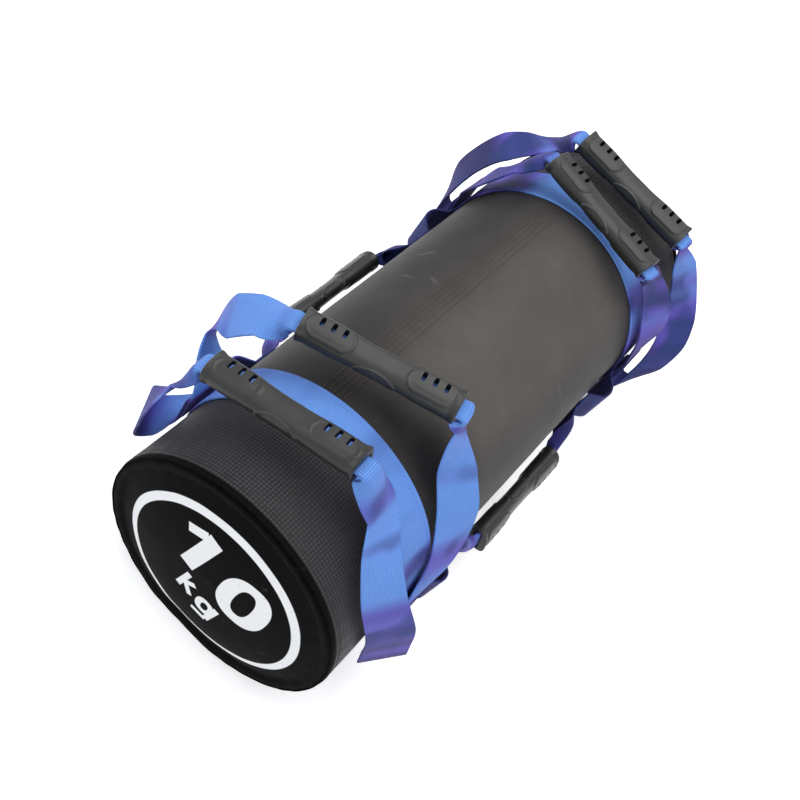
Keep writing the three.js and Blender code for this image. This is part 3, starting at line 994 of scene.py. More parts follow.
@dataclass(frozen=True)
class FloorFinish(Finish):
    """The floor: white to the rays that show the background, and grey enough to keep a shadow."""

    name: str = "floor_white"
    colour: tuple = (0.97, 0.97, 0.97)
    roughness: float = 0.9
    glow: float = 0.45

    def paint(self, g: Graph, shader: bpy.types.Node, place: bpy.types.NodeSocket,
              uv: bpy.types.NodeSocket) -> None:
        """Sets the shader up.

        Args:
            g: graph of the material.
            shader: its Principled node.
            place: Object coordinates, not used.
            uv: UV coordinates, not used.
        """
        g.set(shader, Base_Color=self.colour, Roughness=self.roughness, Specular_IOR_Level=0.0,
              Emission_Color=(1.0, 1.0, 1.0), Emission_Strength=seen_rays(g) * self.glow)


def seen_rays(graph: Graph) -> Value:
    """Share of the rays that show the background: camera, glossy and transmission rays.

    Args:
        graph: graph that asks.

    Returns:
        The share.
    """
    rays = graph.node("ShaderNodeLightPath").outputs
    seen = Value(graph, rays["Is Camera Ray"])
    for label in ("Is Glossy Ray", "Is Transmission Ray"):
        seen = seen.max(Value(graph, rays[label]))
    return seen


# The casing's second colour, a light brownish grey, is mostly a painted highlight over its top middle, and
# 6.4 paints its grid's raised squares lighter, a painted highlight too
CASING = FabricFinish("casing_charcoal", (0.0095, 0.0088, 0.0100), (0.116, 0.107, 0.098), 6.4, 0.0007,
                      roughness=0.5, specular=0.1, sheen=0.02)
# 1.9 paints the end's grid squares lighter near the rim, a painted highlight
END = PrintedFinish("end_black", (0.0030, 0.0030, 0.0031), (0.0050, 0.0050, 0.0050), 1.9)
END_BARE = FabricFinish("end_black_bare", (0.004, 0.004, 0.0042), (0.007, 0.007, 0.007))
WEBBING = WebbingFinish()
RUBBER = PlainFinish("grip_rubber", (0.013, 0.0135, 0.013), 0.38, 900.0, 0.00008, 0.4, specular=0.42)
THREAD_BLUE = PlainFinish("thread_blue", (0.05, 0.13, 0.62), 0.6, 2500.0)
THREAD_BROWN = PlainFinish("thread_brown", (0.075, 0.040, 0.034), 0.6, 2500.0)
THREAD_BLACK = PlainFinish("thread_black", (0.012, 0.012, 0.013), 0.55, 2500.0)
TAPE = PlainFinish("seam_tape_black", (0.015, 0.015, 0.016), 0.7, 700.0, 0.00015)
WADDING = PlainFinish("padding_felt", (0.62, 0.58, 0.50), 0.95, 260.0, 0.0008, 0.2, 0.4, 0.2)
NYLON = PlainFinish("pouch_nylon", (0.26, 0.28, 0.30), 0.5, 1100.0, 0.0001)
TIE = PlainFinish("tie_white", (0.78, 0.78, 0.75), 0.5, 900.0, 0.0001, 0.1)
SAND = PlainFinish("sand_grains", (0.42, 0.31, 0.17), 0.95, 1300.0, 0.0007, 0.5, 0.0, 0.2)


def dress(obj: bpy.types.Object, finish: Finish, node: str, body: Body) -> bpy.types.Object:
    """Gives a piece its finish and ties it to the frame.

    Args:
        obj: the piece.
        finish: its finish.
        node: CAD node that it stands for.
        body: body that it rides.

    Returns:
        The piece.
    """
    obj.data.materials.clear()
    obj.data.materials.append(finish.material())
    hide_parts(node)
    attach(obj, body.value)
    return obj


# The bag's outline
def outline_reach(angle: np.ndarray, radius: float, drop: float) -> np.ndarray:
    """Distance from the bag's axis to its outline: round, with a flat underside.

    Args:
        angle: angles from straight down.
        radius: radius of the round part in mm.
        drop: depth of the flat below the axis in mm.

    Returns:
        The distances in mm.
    """
    away = np.abs(np.arctan2(np.sin(angle), np.cos(angle)))
    flat_half = drop * math.tan(REST_ANGLE)
    arc = (radius ** 2 - flat_half ** 2 - drop ** 2) / (2 * (radius - drop))
    along = np.sin(away) * flat_half + np.cos(away) * (drop - arc)
    offset = flat_half ** 2 + (drop - arc) ** 2
    bent = along + np.sqrt(np.maximum(arc ** 2 - offset + along ** 2, 0))
    out = np.where(away >= math.atan2(flat_half, drop - arc), radius, bent)
    return np.where(away <= REST_ANGLE, drop / np.cos(np.minimum(away, 1.2)), out)


def outline_ring(y: float, radius: float, drop: float, sides: int, share: float = 1.0) -> np.ndarray:
    """One ring of the bag's outline.

    Args:
        y: place along the bag in mm.
        radius: radius of the round part in mm.
        drop: depth of the flat below the axis in mm.
        sides: number of points.
        share: scale of the ring about the axis.

    Returns:
        (sides, 3) places in mm, from straight down.
    """
    angle = np.arange(sides) * TAU / sides
    reach = share * outline_reach(angle, radius, drop)
    x, z = reach * np.sin(angle), AXIS_HEIGHT - reach * np.cos(angle)
    return np.stack([x, np.full(sides, float(y)), z], -1)


# Webbing
@dataclass(frozen=True)
class Place:
    """One place of a webbing route: centre, line of the width and fold share."""

    centre: np.ndarray
    line: np.ndarray
    fold: float = 0.0


def web_section(fold: float, flip: float) -> tuple:
    """Section of the webbing, open or with both edges folded over its middle.

    Args:
        fold: 0 for the open strip, 1 where the edges lie on the middle.
        flip: 1 or -1, the side that the fold opens to.

    Returns:
        (k, 2) points across and out in mm, and (k + 1,) places across the flat strip.
    """
    reach = WEB_WIDTH / 2 * (1 - FOLD_DRAW * fold)
    bend = FOLD_BEND + OPEN_BEND * (1 - min(1.0, fold / TIGHT_FOLD))
    middle = max(FOLD_MIDDLE, bend + 0.2)
    bend_end = min(middle + bend, reach - LEAST_FLAP)
    half_line = np.concatenate([np.linspace(0, middle - bend, 5)[:-1],
                                np.linspace(middle - bend, bend_end, 11)[:-1],
                                np.linspace(bend_end, reach, 5)])
    turn = math.pi * fold * np.clip((half_line - middle + bend) / (2 * bend), 0, 1)
    halfway, steps = (turn[1:] + turn[:-1]) / 2, np.diff(half_line)
    x = np.concatenate([[0], np.cumsum(np.cos(halfway) * steps)])
    z = np.concatenate([[0], np.cumsum(np.sin(halfway) * steps)])
    line = np.concatenate([np.stack([-x, z], -1)[:0:-1], np.stack([x, z], -1)])
    heading = np.concatenate([-turn[:0:-1], turn])
    spots = np.concatenate([-half_line[:0:-1], half_line])
    line[:, 1] -= WEB_TUCK * fold
    half = WEB_THICK / 2
    out = np.stack([-np.sin(heading), np.cos(heading)], -1)
    along = np.stack([np.cos(heading), np.sin(heading)], -1)
    upper, lower = line + out * half, line - out * half
    for index, way in ((0, 1), (-1, -1)):
        upper[index] += way * along[index] * EDGE_ROUND
        lower[index] += way * along[index] * EDGE_ROUND
    edge = half * EDGE_SHARE
    far = [line[-1] + out[-1] * edge, line[-1] - out[-1] * edge]
    near = [line[0] - out[0] * edge, line[0] + out[0] * edge]
    loop = np.vstack([upper, far, lower[::-1], near])
    loop[:, 1] *= flip
    return loop, np.concatenate([spots, [reach] * 2, spots[::-1], [-reach] * 3])


def catmull_rom(points: np.ndarray, t: float) -> tuple:
    """Point and tangent of a centripetal Catmull-Rom curve.

    Args:
        points: (n, 3) places.
        t: place number with its share, from 0 to n - 1.

    Returns:
        The point and the tangent.
    """
    last = len(points) - 1
    index = min(int(t), last - 1)
    share = t - index
    p1, p2 = points[index], points[index + 1]
    p0 = points[index - 1] if index > 0 else 2 * points[0] - points[1]
    p3 = points[index + 2] if index + 2 <= last else 2 * points[-1] - points[-2]
    d0, d1, d2 = (max(np.linalg.norm(b - a) ** 0.5, 1e-4) for a, b in ((p0, p1), (p1, p2), (p2, p3)))
    t1 = ((p1 - p0) / d0 - (p2 - p0) / (d0 + d1) + (p2 - p1) / d1) * d1
    t2 = ((p2 - p1) / d1 - (p3 - p1) / (d1 + d2) + (p3 - p2) / d2) * d1
    c2, c3 = -3 * p1 + 3 * p2 - 2 * t1 - t2, 2 * p1 - 2 * p2 + t1 + t2
    point = p1 + t1 * share + c2 * share ** 2 + c3 * share ** 3
    return point, unit(t1 + 2 * c2 * share + 3 * c3 * share ** 2)


def web_tone(rings: np.ndarray, level: np.ndarray) -> np.ndarray:
    """Tone of the webbing's colour from 0, deep, to 1, bright: mostly painted light and shade.

    It rises with height and where the strip lies level, a painted light from above, falls towards
    the rear and the left, a painted shade, and varies in random clouds.

    Args:
        rings: (r, s, 3) places in mm.
        level: (r, 1) shares, 1 where the strip lies flat.

    Returns:
        (r, s) tones.
    """
    cloud = soft_noise(rings[:, :1], CLOUD_SIZE, seed=6.1)
    height = smooth(rings[:, :, 2], 5.0, 175.0)
    rearward = smooth(rings[:, :, 1], -60.0, 180.0)
    left = smooth(-rings[:, :, 0], 20.0, 110.0) * rearward
    # Painted light from above with height and on level strips, painted shade at the rear and the left
    tone = TONE_FLOOR + PAINTED_LIGHT_HEIGHT * height + PAINTED_LIGHT_LEVEL * level + PAINTED_SHADE_REAR * rearward * (1 - level)
    return np.clip(tone + TONE_CLOUD * cloud + PAINTED_SHADE_LEFT * left, 0, 1)


@dataclass(frozen=True)
class RibbonFrame:
    """One ring's frame on a webbing route."""

    point: np.ndarray
    tangent: np.ndarray
    width: np.ndarray
    fold: float

    @property
    def normal(self) -> np.ndarray:
        """Direction out of the strip's face."""
        return unit(np.cross(self.tangent, self.width))


@dataclass
class Ribbon:
    """A webbing strip along its places.

    The spine is the direction that a fold's closed edge points to. A fold that opens away from the
    bag has opens at 1, and one that opens towards it has -1.
    """

    name: str
    places: Sequence[Place]
    spine: Optional[np.ndarray] = None
    opens: int = 1
    step: float = 2.4

    def frames(self) -> list:
        """Frames along the route, about a step apart.

        Returns:
            The frames.
        """
        centres = np.array([p.centre for p in self.places])
        lines = [self.places[0].line]
        for place in self.places[1:]:
            lines.append(place.line * (-1 if np.dot(lines[-1], place.line) < 0 else 1))
        frames = []
        for index, (place, following) in enumerate(zip(self.places, self.places[1:])):
            count = max(2, round(np.linalg.norm(following.centre - place.centre) / self.step))
            for number in range(0 if index == 0 else 1, count + 1):
                share = number / count
                point, tangent = catmull_rom(centres, index + share)
                width = unit(lines[index] * (1 - share) + lines[index + 1] * share)
                fold = place.fold * (1 - share) + following.fold * share
                frames.append(RibbonFrame(point, tangent, width, fold))
        return frames

    def signs(self, frames: Sequence[RibbonFrame]) -> tuple:
        """Which way the section lies.

        Args:
            frames: frames along the route.

        Returns:
            Sign of the width's direction, and sign of the fold's side.
        """
        side = 1.0
        if self.spine is not None:
            grip = [f for f in frames if f.fold > 0.999]
            side = math.copysign(1.0, np.dot(grip[len(grip) // 2].width, self.spine))
        axis = np.array([0, 0, AXIS_HEIGHT])
        away = sum(float(np.dot(f.normal, unit((f.point - axis) * (1, 0, 1))))
                   for f in frames if 0.15 < f.fold < 0.7)
        return side, self.opens * math.copysign(1.0, away * side)

    def build(self) -> bpy.types.Object:
        """Makes the strip.

        Returns:
            The webbing object.
        """
        frames = self.frames()
        side, flip = self.signs(frames)
        rings, across = [], []
        for f in frames:
            loop, spots = web_section(min(1.0, f.fold / FULL_FOLD), flip)
            x, z = (loop * side).T
            rings.append(f.point + np.outer(x, f.width) + np.outer(z, f.normal))
            across.append(spots)
        rings = np.array(rings)
        points = np.array([f.point for f in frames])
        along = np.append(0.0, np.cumsum(np.linalg.norm(np.diff(points, axis=0), axis=1)))
        level = np.array([abs(float(f.normal[2])) for f in frames])[:, None]
        return loft_object(self.name, rings, along, np.array(across), tone=web_tone(rings, level))


def layer_reach(layer: int) -> float:
    """Distance of a sewn layer's middle from the bag's axis; the band is layer 0."""
    return BAG_RADIUS + GAP + WEB_THICK / 2 + layer * (WEB_THICK + GAP)


# Stitches
def stitch_tree() -> bpy.types.NodeTree:
    """Geometry nodes that lay stitches along a line, with its pitch, length and thickness as inputs.

    Returns:
        The node tree, made at its first use.
    """
    if "StitchRun" in bpy.data.node_groups:
        return bpy.data.node_groups["StitchRun"]
    tree = bpy.data.node_groups.new("StitchRun", "GeometryNodeTree")
    sockets = (("Geometry", "INPUT", "Geometry"), ("Pitch", "INPUT", "Float"),
               ("Length", "INPUT", "Float"), ("Thickness", "INPUT", "Float"),
               ("Material", "INPUT", "Material"), ("Geometry", "OUTPUT", "Geometry"))
    for label, way, kind in sockets:
        tree.interface.new_socket(name=label, in_out=way, socket_type=f"NodeSocket{kind}")
    g = Graph(tree)
    source = g.node("NodeGroupInput").outputs
    curve = g.node("GeometryNodeMeshToCurve", Mesh=source["Geometry"])
    points = g.node("GeometryNodeResampleCurve", {"mode": "LENGTH"}, Curve=curve.outputs[0],
                    Length=source["Pitch"])
    bead = g.node("GeometryNodeMeshUVSphere", Segments=6, Rings=5, Radius=0.5)
    tangent = g.node("GeometryNodeInputTangent")
    turn = g.node("FunctionNodeAlignRotationToVector", {"axis": "Z"}, Vector=tangent.outputs[0])
    size = g.node("ShaderNodeCombineXYZ", X=source["Thickness"], Y=source["Thickness"], Z=source["Length"])
    spread = g.node("GeometryNodeInstanceOnPoints", Points=points.outputs[0], Instance=bead.outputs["Mesh"],
                    Rotation=turn.outputs[0], Scale=size.outputs[0])
    real = g.node("GeometryNodeRealizeInstances", Geometry=spread.outputs[0])
    painted = g.node("GeometryNodeSetMaterial", Geometry=real.outputs[0], Material=source["Material"])
    g.node("NodeGroupOutput", Geometry=painted.outputs[0])
    return tree


@dataclass
class StitchRun:
    """Rows of thread stitches along polylines, as one piece."""

    name: str
    lines: Sequence
    finish: PlainFinish
    body: Body
    pitch: float = 3.2
    length: float = 2.6
    thick: float = 0.6

    def build(self) -> bpy.types.Object:
        """Makes the stitches with the StitchRun tree and lets them ride their body.

        Returns:
            The stitches.
        """
        points, edges = [], []
        for line in self.lines:
            start = len(points)
            points += [tuple(np.asarray(p) * MM) for p in line]
            edges += [(start + i, start + i + 1) for i in range(len(line) - 1)]
        mesh = bpy.data.meshes.new(self.name + "_line")
        mesh.from_pydata(points, edges, [])
        carrier = link_object(self.name + "_line", mesh)
        modifier = carrier.modifiers.new("stitches", "NODES")
        modifier.node_group = stitch_tree()
        values = {"Pitch": self.pitch * MM, "Length": self.length * MM, "Thickness": self.thick * MM,
                  "Material": self.finish.material()}
        for item in modifier.node_group.interface.items_tree:
            if item.item_type == "SOCKET" and item.in_out == "INPUT" and item.name in values:
                modifier[item.identifier] = values[item.name]
        made = bpy.data.meshes.new_from_object(carrier.evaluated_get(bpy.context.evaluated_depsgraph_get()))
        bpy.data.objects.remove(carrier)
        made.name = self.name
        shade_smooth(made)
        obj = link_object(self.name, made)
        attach(obj, self.body.value)
        return obj


def crossed_box(half_length: float, low: float, high: float) -> list:
    """Runs of stitches of a box with its two diagonals.

    Args:
        half_length: half of the box's length in mm.
        low: its lower edge in mm.
        high: its upper edge in mm.

    Returns:
        Lists of flat points.
    """
    a, b, c, d = (-half_length, low), (half_length, low), (half_length, high), (-half_length, high)
    return [[a, b, c, d, a], [a, c], [b, d]]


# The bag
@dataclass
class BagCasing:
    """The round side of the bag with its lap seam's stitch lines."""

    sides: int = 216
    stations: int = 300
    inner_stations: int = 60
    fill: float = 0.95
    slack: float = 0.85
    swell_sizes: tuple = (62.0, 24.0)
    calm_reach: tuple = (15.0, 40.0)
    deepest: float = 1.1
    skin: float = 0.5
    seam_angles: tuple = (-25.7, -23.1, -20.5, -17.9, -15.3)
    seam_groove: float = 0.3
    groove_half: float = 0.9
    pucker_count: float = 46.0
    pucker_depth: float = 0.55
    pucker_reach: tuple = (-26.0, -2.0)
    pucker_swell: float = 30.0
    edge_depth: float = 0.9
    edge_reach: tuple = (-3.5, -0.3)
    hinge_depth: float = 0.7
    hinge_rise: float = 2.5
    hinge_half: float = 5.0
    hinge_past: float = 10.0
    hinge_short: float = 4.0
    band_reach: float = WEB_WIDTH / 2 + GAP
    band_ramp: float = 8.0
    band_press: float = WEB_THICK + GAP
    stitch_clear: float = 20.5
    stitch_step: float = 12.0
    stitch_sink: float = 0.28
    last_stitch: float = 5.0
    end_row: float = 4.6
    end_row_sink: float = 0.55
    end_row_sides: int = 120

    def drop(self, y: float) -> float:
        """Depth of the underside below the axis, pressed up at the bands.

        Args:
            y: place along the bag in mm.

        Returns:
            The depth in mm.
        """
        away = min(abs(y - FRONT_BAND_Y), abs(y - REAR_BAND_Y)) - self.band_reach
        return AXIS_HEIGHT - self.band_press * min(1.0, max(0.0, 1 - away / self.band_ramp))

    def dips(self, rings: np.ndarray) -> np.ndarray:
        """How far the fabric lies inside its full outline: slack, puckers and pressed seams.

        Args:
            rings: (r, s, 3) places in mm.

        Returns:
            (r, s) depths in mm.
        """
        y = rings[:, :, 1]
        from_end = np.abs(y) - SEAM_HALF
        angle = np.arctan2(rings[:, :, 0], rings[:, :, 2] - AXIS_HEIGHT)
        large, small = self.swell_sizes
        swell = soft_noise(rings, large, seed=3.1) * 0.7 + soft_noise(rings, small, seed=7.7) * 0.3
        calm = np.minimum(*(smooth(np.abs(y - band), *self.calm_reach)
                            for band in (FRONT_BAND_Y, REAR_BAND_Y)))
        dip = (0.5 + swell * 0.9) * self.slack * (0.25 + 0.75 * calm)
        waver = 2.2 * soft_noise(rings, self.pucker_swell, seed=1.9)
        pucker = 0.5 + 0.5 * np.sin(angle * self.pucker_count + waver)
        dip += smooth(from_end, *self.pucker_reach) * pucker * self.pucker_depth
        dip += smooth(from_end, *self.edge_reach) * self.edge_depth
        for degrees in self.seam_angles:
            away = np.abs(angle - math.radians(degrees)) * BAG_RADIUS
            dip += self.seam_groove * np.exp(-(away / self.groove_half) ** 2)
        over = rings[:, :, 2] - FLANK_Z - WEB_WIDTH / 2 - self.hinge_rise
        between = smooth(-np.abs(y), -FLANK_TACK_Y - self.hinge_past, -FLANK_TACK_Y + self.hinge_short)
        dip += self.hinge_depth * np.exp(-(over / self.hinge_half) ** 2) * between
        return np.clip(dip, 0, self.deepest)

    def build(self) -> list:
        """Makes the casing and its stitches.

        Returns:
            The pieces.
        """
        end = SEAM_HALF - GAP / 2
        ys = np.linspace(-end, end, self.stations)
        outer = np.array([outline_ring(y, BAG_RADIUS, self.drop(y), self.sides) for y in ys])
        inward = unit((outer * (0, 1, 0) + (0, 0, AXIS_HEIGHT)) - outer)
        outer = outer + inward * self.dips(outer)[:, :, None]
        picks = np.linspace(0, self.stations - 1, self.inner_stations).round().astype(int)[::-1]
        depth = self.deepest + self.skin / 2
        inner = np.array([outline_ring(y, BAG_RADIUS - depth, self.drop(y) - depth, self.sides)
                          for y in ys[picks]])
        around = np.arange(self.sides + 1) * TAU * BAG_RADIUS / self.sides
        along = np.concatenate([ys, ys[picks], ys[:1]])
        obj = loft_object("bag_casing", np.concatenate([outer, inner]), along, around, wrap=True)
        return [dress(obj, CASING, "side_panel", Body.BAG), *self.stitches()]

    def stitches(self) -> list:
        """The lap seam's parallel lines and the rows beside the end seams.

        Returns:
            The pieces.
        """
        lines = []
        reach = BAG_RADIUS - self.stitch_sink
        for degrees in self.seam_angles:
            x, z = reach * math.sin(math.radians(degrees)), reach * math.cos(math.radians(degrees))
            for start, end in ((FRONT_BAND_Y + self.stitch_clear, REAR_BAND_Y - self.stitch_clear),
                               (REAR_BAND_Y + self.stitch_clear, SEAM_HALF - self.last_stitch)):
                count = max(2, int((end - start) / self.stitch_step))
                lines.append([(x, y, AXIS_HEIGHT + z) for y in np.linspace(start, end, count)])
        rings = [outline_ring(end * (SEAM_HALF - self.end_row), BAG_RADIUS - self.end_row_sink,
                              AXIS_HEIGHT - self.end_row_sink, self.end_row_sides) for end in (-1, 1)]
        ends = [[*ring, ring[0]] for ring in rings]
        return [StitchRun("lap_seam_stitches", lines, THREAD_BROWN, Body.BAG,
                          pitch=3.4, length=2.7, thick=0.62).build(),
                StitchRun("end_seam_stitches", ends, THREAD_BLACK, Body.BAG, pitch=4.6, length=3.4).build()]


@dataclass
class EndPanel:
    """A round end with a puffy rim and, at the front, the weight mark."""

    end: int
    name: str
    finish: FabricFinish
    sides: int = 240
    fill: float = 0.9
    seam_radii: tuple = (98.7, 99.35, 99.75)
    seam_heights: tuple = (0.0, 0.35, 1.1)
    rim_steps: int = 12
    rim_radius: float = 99.8
    lip: float = 1.3
    puff: float = 5.0
    sink: float = 2.2
    sink_outer: float = 94.5
    sink_inner: float = 88.0
    blend: float = 1.2
    face_steps: int = 84
    ledge_from: float = 94.6
    fillet_to: float = 94.0
    back_radii: tuple = (98.2, 12.0, 12)
    back_gap: float = 0.3
    face_v_radius: float = 70.0
    pucker_count: float = 31.0
    pucker_push: float = 0.14
    pucker_shares: tuple = (0.72, 0.93)
    pucker_heights: tuple = (0.2, 2.5)
    swell_sizes: tuple = (46.0, 17.0)
    swell_pushes: tuple = (1.1, 0.25)
    swell_shares: tuple = (0.02, 0.18)

    def profile(self) -> tuple:
        """Radii and heights over the seam plane, from the rim's inner edge out and over to the middle.

        Returns:
            The radii and the heights in mm.
        """
        turns = np.arange(1, self.rim_steps + 1) / self.rim_steps * math.pi / 2
        rim = self.rim_radius - self.puff * (1 - np.cos(turns))
        face = np.linspace(rim[-1], 0, self.face_steps)[1:-1]
        radii = np.concatenate([self.seam_radii, rim, face])
        heights = np.concatenate([self.seam_heights, self.lip + self.puff * np.sin(turns), 0 * face])
        dome = DOME_DEPTH * (1 - (np.minimum(radii, BAG_RADIUS) / BAG_RADIUS) ** DOME_POWER)
        ledge = np.where(heights > 0, heights, self.lip + self.puff)
        sunk = ledge - self.sink * smooth(radii, self.sink_outer, self.sink_inner)
        heights = np.where(radii > self.ledge_from, ledge, np.maximum(dome, sunk))
        fillet = np.clip(self.blend - np.abs(dome - sunk) / 2, 0, None) ** 2 / (4 * self.blend)
        return radii, heights + np.where(radii < self.fillet_to, fillet, 0)

    def push(self, rings: np.ndarray, shares: np.ndarray, heights: np.ndarray) -> np.ndarray:
        """How far the fabric swells outwards: puckers at the rim and slack over the face.

        Args:
            rings: (r, s, 3) places in mm.
            shares: (r, 1) shares of the bag's radius.
            heights: (r, 1) heights over the seam plane in mm.

        Returns:
            (r, s) pushes in mm.
        """
        angle = np.arctan2(rings[:, :, 0], rings[:, :, 2] - AXIS_HEIGHT)
        waver = 3.4 * soft_noise(rings, 34.0, seed=4.4)
        pucker = np.sin(angle * self.pucker_count + waver) * self.pucker_push
        pucker *= 1 + soft_noise(rings, 50.0, seed=8.8)
        swell = sum(soft_noise(rings, size, seed=seed) * push
                    for size, push, seed in zip(self.swell_sizes, self.swell_pushes, (9.2, 5.5)))
        rimward = smooth(shares, *self.pucker_shares) * smooth(heights, *self.pucker_heights)
        return rimward * pucker + swell * smooth(1 - shares, *self.swell_shares)

    def build(self) -> list:
        """Makes the end.

        Returns:
            The piece.
        """
        radii, heights = self.profile()
        rim = SEAM_HALF + GAP / 2
        outer = np.array([outline_ring(self.end * (rim + height), BAG_RADIUS, AXIS_HEIGHT, self.sides, share)
                          for share, height in zip(radii / BAG_RADIUS, heights)])
        outer[:, :, 1] += self.end * self.push(outer, (radii / BAG_RADIUS)[:, None], heights[:, None])
        inner = []
        back = np.linspace(*self.back_radii)
        for share in back / BAG_RADIUS:
            dome = DOME_DEPTH * (1 - share ** DOME_POWER) - SKIN * 2.2 * (1 - share) - self.back_gap
            y = self.end * (rim + max(0.0, dome) * 0.9)
            inner.append(outline_ring(y, BAG_RADIUS, AXIS_HEIGHT, self.sides, share))
        around = np.arange(self.sides + 1) * TAU * self.face_v_radius / self.sides
        rings = np.concatenate([outer[::-1], inner])
        obj = loft_object(self.name, rings, np.append(radii[::-1], back), around)
        self.flat_uv(obj.data)
        return [dress(obj, self.finish, f"{self.name}_panel", Body.BAG)]

    @staticmethod
    def flat_uv(mesh: bpy.types.Mesh) -> None:
        """Lays the UV map flat over the face, so that its grid runs straight across.

        Args:
            mesh: the end's mesh.
        """
        points = np.zeros(len(mesh.vertices) * 3)
        mesh.vertices.foreach_get("co", points)
        corners = np.zeros(len(mesh.loops), dtype=np.int32)
        mesh.loops.foreach_get("vertex_index", corners)
        flat = points.reshape(-1, 3)[corners][:, (0, 2)]
        mesh.uv_layers[0].data.foreach_set("uv", flat.ravel())


@dataclass
class Band:
    """A webbing band round the bag, with a row of stitches along each edge."""

    name: str
    y: float
    sides: int = 260
    row_sides: int = 140
    stitch_inset: float = 4.2
    stitch_sink: float = 0.1
    stitch_floor: float = 4.0

    def build(self) -> list:
        """Makes the band and its stitches.

        Returns:
            The pieces.
        """
        loop, spots = web_section(0.0, 1.0)
        face = BAG_RADIUS + GAP + WEB_THICK
        outer = outline_ring(self.y, face, AXIS_HEIGHT, self.sides)
        inner = outline_ring(self.y, BAG_RADIUS + GAP, AXIS_HEIGHT - WEB_THICK, self.sides)
        middle, out = (outer + inner) / 2, unit(outer - inner)
        rings = np.array([m + np.outer(loop[:, 0], (0, 1, 0)) + np.outer(loop[:, 1], o)
                          for m, o in zip(middle, out)])
        lengths = np.linalg.norm(np.diff(np.vstack([middle, middle[:1]]), axis=0), axis=1)
        along = np.append(0.0, np.cumsum(lengths))
        tone = web_tone(rings, np.abs(out[:, 2:3]))
        obj = loft_object(f"{self.name}_webbing", rings, along, spots, wrap=True, tone=tone)
        rows = []
        for side in (-1, 1):
            y = self.y + side * (WEB_WIDTH / 2 - self.stitch_inset)
            ring = outline_ring(y, face - self.stitch_sink, AXIS_HEIGHT, self.row_sides)
            rows.append(ring[ring[:, 2] > self.stitch_floor])
        return [dress(obj, WEBBING, self.name, Body.BAG),
                StitchRun(f"{self.name}_webbing_stitches", rows, THREAD_BLUE, Body.BAG,
                          pitch=3.6, length=2.8).build()]


# Grips
@dataclass(frozen=True)
class GripPose:
    """Where a grip sits: shares of the bag's radius from the axis at a y, and its directions."""

    centre: tuple
    axis: tuple
    spine: tuple
    y: float

    def centre_mm(self) -> np.ndarray:
        """Centre in mm."""
        return np.array([0, self.y, AXIS_HEIGHT]) + np.array(self.centre) * BAG_RADIUS

    def axes(self) -> np.ndarray:
        """The grip's directions.

        Returns:
            Rows along, spine and across.
        """
        along = unit(np.array(self.axis, float))
        spine = np.array(self.spine, float)
        spine = unit(spine - along * np.dot(spine, along))
        return np.array([along, spine, np.cross(along, spine)])

    def places(self) -> list:
        """Places of the webbing through the grip.

        Returns:
            The places, folded inside and opening past the mouths.
        """
        along, spine, _ = self.axes()
        half = GRIP_LENGTH / 2
        reaches = (half + MOUTH_LEAD, half, half / 2, -half / 2, -half, -half - MOUTH_LEAD)
        folds = (1.0 if abs(reach) <= half else PART_FOLD for reach in reaches)
        return [Place(self.centre_mm() + along * reach, spine, fold) for reach, fold in zip(reaches, folds)]


